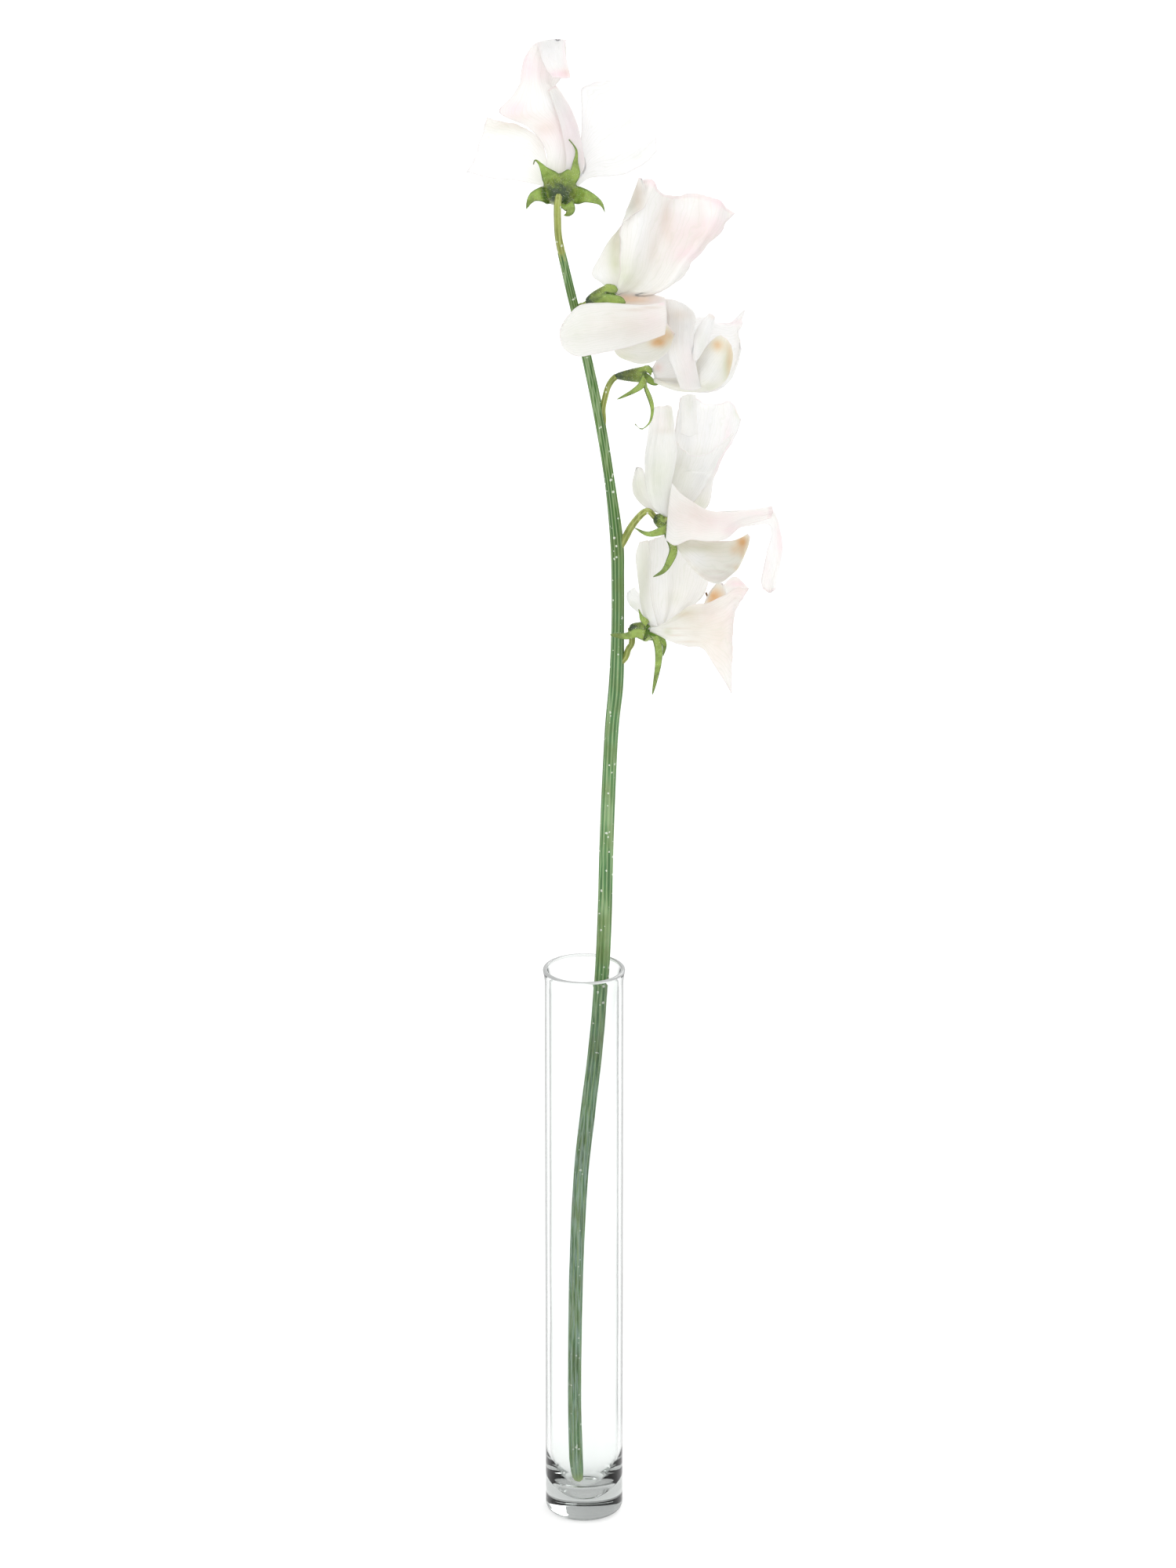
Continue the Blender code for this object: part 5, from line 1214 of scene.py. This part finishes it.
def add_sepal(work, layers, rim, outward, taper, path):
    """One tapering sepal on the rim's points, along a smooth path to its tip."""
    reach, edge = layers
    places = [2 * share - 1 for share in shares(len(rim) - 1, 0)]
    chord = rim[-1].co - rim[0].co
    stops = [rim[len(rim) // 2].co.copy()] + [Vector(stop) for stop in path]
    before = rim
    for t in shares(SEPAL_ROWS * len(stops))[:-1]:
        run = (smooth_through(stops, t + 0.02) - smooth_through(stops, t - 0.02)).normalized()
        width = (chord - run * chord.dot(run)).normalized()
        # towards the tip it turns its face to the front
        facing = run.cross(Vector((0, 1, 0)))
        facing = facing if facing.dot(width) > 0 else -facing
        width = width.lerp(facing.normalized(), min(1.0, t / SEPAL_TURNED)).normalized()
        half = width * chord.length * 0.5 * (1 - t) ** taper
        keel = outward * chord.length * SEPAL_KEEL * (1 - t)
        centre = smooth_through(stops, t)
        row = [work.verts.new(centre + half * side + keel * (1 - side ** 2)) for side in places]
        for vert, side in zip(row, places):
            vert[reach], vert[edge] = 1.0 + t, abs(side)
        for near, far in zip(zip(before, before[1:]), zip(row, row[1:])):
            work.faces.new((*near, *reversed(far)))
        before = row
    tip = work.verts.new(stops[-1])
    tip[reach], tip[edge] = 2.0, 1.0
    for near in zip(before, before[1:]):
        work.faces.new((*near, tip))


def calyx_mesh(number, calyx, skin):
    """A small cup with five sepals, closed at the pedicel and open at the throat."""
    base, axis, height, base_radius, rim_radius, sepals = calyx
    base, axis = Vector(base), Vector(axis).normalized()
    up, side = ring_directions(axis)
    work = bmesh.new()
    layers = [work.verts.layers.float.new(key) for key in ("reach", "edge")]
    rings = []
    for share, radius in ((0.0, base_radius * 0.6), (0.12, base_radius),
                          (0.5, (base_radius + rim_radius) * 0.55), (1.0, rim_radius)):
        ring = []
        for turn in [math.tau * t for t in shares(CUP_SIDES, 0)[:-1]]:
            spoke = up * math.cos(turn) + side * math.sin(turn)
            vert = work.verts.new(base + axis * height * share + spoke * radius)
            vert[layers[0]] = share
            vert[layers[1]] = (0.5 + 0.5 * math.cos(turn * SEPALS)) * share
            ring.append(vert)
        rings.append(ring)
    work.faces.new(rings[0])
    for ring, after in zip(rings, rings[1:]):
        for k in range(CUP_SIDES):
            m = (k + 1) % CUP_SIDES
            work.faces.new((ring[k], ring[m], after[m], after[k]))
    sides = CUP_SIDES // SEPALS
    for k, (taper, path) in enumerate(sepals):
        rim = [rings[-1][(k * sides + i) % CUP_SIDES] for i in range(sides + 1)]
        turn = math.tau * (k + 0.5) / SEPALS
        add_sepal(work, layers, rim, up * math.cos(turn) + side * math.sin(turn), taper, path)
    bmesh.ops.recalc_face_normals(work, faces=work.faces)
    bmesh.ops.transform(work, matrix=floret_place(number), verts=work.verts)
    return bake(work, f"floret_{number}_calyx", skin)


class SWEETPEA_OT_calyces(bpy.types.Operator):
    """Makes each floret's green calyx, with its pointed sepals and fine hairs"""
    bl_idname = "sweetpea.calyces"
    bl_label = "Calyces"

    def execute(self, context):
        calyx = settings().calyx
        tree, skin, hair = hair_tree(), calyx_material(), hair_material()
        for number, floret in FLORETS.items():
            piece = link_object(f"floret_{number}_sepals", calyx_mesh(number, floret["calyx"], skin))
            smooth = piece.modifiers.new("smooth", "SUBSURF")
            smooth.levels = smooth.render_levels = 2
            thicken(piece, calyx.sepal)
            add_tree(piece, tree, {"Hairs": calyx.hairs, "Length": calyx.hair,
                                   "Radius": HAIR_RADIUS, "Seed": number, "Material": hair})
            made = plain_mesh(piece, f"floret_{number}_green_calyx")
            finish_piece(made, f"floret_{number}_calyx")
        return {"FINISHED"}


def petal_grid(net):
    """The smooth surface through a net, as rows of points from claw to margin."""
    columns = [[Vector(stop) for stop in column] for column in zip(*net)]
    grid = []
    for along in shares(PETAL_ALONG, 0):
        row = [smooth_through(column, along) for column in columns]
        grid.append([smooth_through(row, across) for across in shares(PETAL_ACROSS, 0)])
    return grid


def tint_petal(vert, layers, here, tints):
    """Adds each pigment's soft round spots where the vertex lies."""
    for pigment, spots in tints.items():
        layer = layers[pigment]
        for x, z, wide, high, strength in spots:
            away = ((here.x - x) / wide) ** 2 + ((here.z - z) / high) ** 2
            vert[layer] = min(1.0, vert[layer] + strength * math.exp(-away))


def add_petal_sheet(work, sheet, seed):
    """One sheet of a petal with its ruffled margin and its pigments."""
    petal = settings().petal
    grid = petal_grid(sheet.net)
    layers = {key: work.verts.layers.float[key] for key in PIGMENTS}
    middle = grid[PETAL_ALONG // 2][PETAL_ACROSS // 2]
    broad = min(1.0, (grid[-1][0] - grid[-1][-1]).length / PLEATED_WIDTH)
    rows = []
    for j, spots in enumerate(grid):
        row = []
        for i, here in enumerate(spots):
            across, along = 2 * i / PETAL_ACROSS - 1, j / PETAL_ALONG
            run = grid[min(j + 1, PETAL_ALONG)][i] - grid[max(j - 1, 0)][i]
            span = spots[min(i + 1, PETAL_ACROSS)] - spots[max(i - 1, 0)]
            normal = run.cross(span)
            normal = normal.normalized() if normal.length > 1e-9 else Vector((0, 1, 0))
            margin = max(along ** 5, abs(across) ** 5 * along ** 0.7)
            wave = noise.noise(Vector((across * sheet.waves, along * sheet.waves, seed)))
            swell = noise.noise(here / CRINKLE_SIZE + Vector((seed, 0, 0))) * petal.crinkle
            fan = Vector((across * PLEATS_ACROSS, along * PLEATS_ALONG, seed + 5.0))
            fold = noise.noise(fan) * broad * petal.pleat
            frill = noise.noise(here / FRAY_SIZE + Vector((0, seed, 0))) * broad * petal.fray
            lift = sheet.ruffle * margin * wave * 2 + (swell + fold) / MM * min(1.0, 2.0 * along)
            outward = (here - middle).normalized() if margin > 0.02 else Vector()
            vert = work.verts.new(here + normal * lift + outward * frill / MM * margin)
            vert[layers["across"]] = across
            vert[layers["along"]] = along
            vert[layers["rim"]] = sheet.rim * (along > RIM_ALONG or abs(across) > RIM_ACROSS)
            tint_petal(vert, layers, here, sheet.tints)
            row.append(vert)
        rows.append(row)
    for row, after in zip(rows, rows[1:]):
        for i in range(PETAL_ACROSS):
            work.faces.new((row[i], row[i + 1], after[i + 1], after[i]))


def make_petal(number, part, sheets, material):
    """One petal of one or more sheets, with its own draw of the waves for each sheet."""
    work = bmesh.new()
    for key in PIGMENTS:
        work.verts.layers.float.new(key)
    for k, sheet in enumerate(sheets):
        add_petal_sheet(work, sheet, number * 7.3 + k * 3.1 + len(part))
    bmesh.ops.transform(work, matrix=floret_place(number), verts=work.verts)
    name = f"floret_{number}_{part}"
    piece = link_object(f"{name}_petal", bake(work, f"{name}_petal", material))
    thicken(piece, settings().petal.thickness)
    finish_piece(piece, name)


def make_petals(parts, material):
    """Makes every petal of these parts, floret by floret."""
    for number in FLORETS:
        for part in parts:
            sheets = [sheet for sheet in SHEETS if (sheet.floret, sheet.part) == (number, part)]
            if sheets:
                make_petal(number, part, sheets, material)


class SWEETPEA_OT_petals(bpy.types.Operator):
    """Makes the standards and the wings, with their folds, ruffles and blush"""
    bl_idname = "sweetpea.petals"
    bl_label = "Standards and Wings"

    def execute(self, context):
        tissue = petal_material("white petal tissue", settings().petal.white, "#D9A583")
        make_petals(STANDARD_AND_WINGS, tissue)
        return {"FINISHED"}


class SWEETPEA_OT_keels(bpy.types.Operator):
    """Makes the keels, the cream boats with an amber tip"""
    bl_idname = "sweetpea.keels"
    bl_label = "Keels"

    def execute(self, context):
        petal = settings().petal
        make_petals(("keel",), petal_material("cream keel tissue", petal.keel, petal.amber))
        return {"FINISHED"}


class SWEETPEA_OT_style(bpy.types.Operator):
    """Makes the dry brown thread above the lowest floret's keel"""
    bl_idname = "sweetpea.style"
    bl_label = "Style"

    def execute(self, context):
        brown = linear("#8A5A38")
        skin = green_material("dry style", brown, brown, "#B07F55")
        place = floret_place(1)
        route = [(*(place @ Vector(stop[:3]) / MM), stop[3]) for stop in STYLE]
        made = ribbed_rod("floret_1_brown_style", route, STYLE_STEPS, ribbed_rod_tree(),
                          {"Sides": 24, "Ribs": 3, "Rib depth": 0.1, "Material": skin})
        finish_piece(made, "floret_1_style")
        return {"FINISHED"}


def make_sky(strength):
    """Soft light from all round, stronger from above and in front, and dimmer on the left."""
    world = bpy.data.worlds.new("soft white room")
    world.use_nodes = True
    tree = world.node_tree
    tree.nodes.clear()
    way = add_node(tree, "ShaderNodeTexCoord").outputs["Generated"]
    x, y, z = add_node(tree, "ShaderNodeSeparateXYZ", {0: way}).outputs
    power = strength
    for axis, start, end, at_start, at_end in (
            (z, -0.1, 0.45, 0.5, 1.0), (x, -1.0, 0.6, 0.7, 1.0), (y, -0.9, 0.1, 1.6, 1.0)):
        share = add_node(tree, "ShaderNodeMapRange",
                         {0: axis, 1: start, 2: end, 3: at_start, 4: at_end}).outputs[0]
        power = add_node(tree, "ShaderNodeMath", {0: share, 1: power},
                         operation="MULTIPLY").outputs[0]
    light = add_node(tree, "ShaderNodeBackground", {"Color": "#FFFFFF", "Strength": power})
    add_node(tree, "ShaderNodeOutputWorld", {"Surface": light.outputs[0]})
    bpy.context.scene.world = world


def add_soft_box(side, place, power):
    """A square lamp on one side, turned to the flowers."""
    lamp = bpy.data.lights.new(f"soft box {side}", "AREA")
    lamp.shape = "SQUARE"
    lamp.size = LAMP_SIZE
    lamp.energy = power
    made = link_object(lamp.name, lamp)
    made.location = place
    made.rotation_euler = (LAMP_AIM - Vector(place)).to_track_quat("-Z", "Y").to_euler()


class SWEETPEA_OT_stage(bpy.types.Operator):
    """Makes the floor, the soft light and the camera"""
    bl_idname = "sweetpea.stage"
    bl_label = "Stage, Light and Camera"

    def execute(self, context):
        stage = settings().stage
        work = bmesh.new()
        bmesh.ops.create_grid(work, x_segments=2, y_segments=2, size=stage.floor_size / 2)
        link_object("floor", bake(work, "floor", floor_material()))
        make_sky(stage.sky)
        add_soft_box("left", (-1.3, -0.5, 1.3), stage.lamps * 0.65)
        add_soft_box("behind", (0.9, 1.2, 1.1), stage.lamps)
        lens = bpy.data.cameras.new("camera")
        lens.lens = LENS
        lens.sensor_width = SENSOR
        camera = link_object("camera", lens)
        camera.location = CAMERA_PLACE
        camera.rotation_euler = (CAMERA_TILT, 0.0, 0.0)
        context.scene.camera = camera
        context.scene.view_settings.view_transform = "Standard"
        return {"FINISHED"}


class SWEETPEA_PT_panel(bpy.types.Panel):
    """Lists the pieces and their settings"""
    bl_idname = "SWEETPEA_PT_panel"
    bl_label = "Sweet Pea"
    bl_space_type = "VIEW_3D"
    bl_region_type = "UI"
    bl_category = "Sweet Pea"

    def draw(self, context):
        for group in ("vase", "stem", "calyx", "petal", "stage"):
            held = getattr(context.scene.sweet_pea, group)
            box = self.layout.box()
            for name in held.bl_rna.properties.keys():
                if name not in ("rna_type", "name"):
                    box.prop(held, name)
        for piece in OPERATORS:
            self.layout.operator(piece.bl_idname)


OPERATORS = (SWEETPEA_OT_stage, SWEETPEA_OT_vase, SWEETPEA_OT_stem, SWEETPEA_OT_calyces,
             SWEETPEA_OT_petals, SWEETPEA_OT_keels, SWEETPEA_OT_style)
GROUPS = (VaseSettings, StemSettings, CalyxSettings, PetalSettings, StageSettings, SweetPeaSettings)


def register():
    for kind in (*GROUPS, *OPERATORS, SWEETPEA_PT_panel):
        bpy.utils.register_class(kind)
    bpy.types.Scene.sweet_pea = PointerProperty(type=SweetPeaSettings)


def unregister():
    del bpy.types.Scene.sweet_pea
    for kind in reversed((*GROUPS, *OPERATORS, SWEETPEA_PT_panel)):
        bpy.utils.unregister_class(kind)


def main():
    register()
    for piece in OPERATORS:
        category, name = piece.bl_idname.split(".")
        getattr(getattr(bpy.ops, category), name)()
    bpy.context.view_layer.update()


if __name__ == "__main__":
    main()
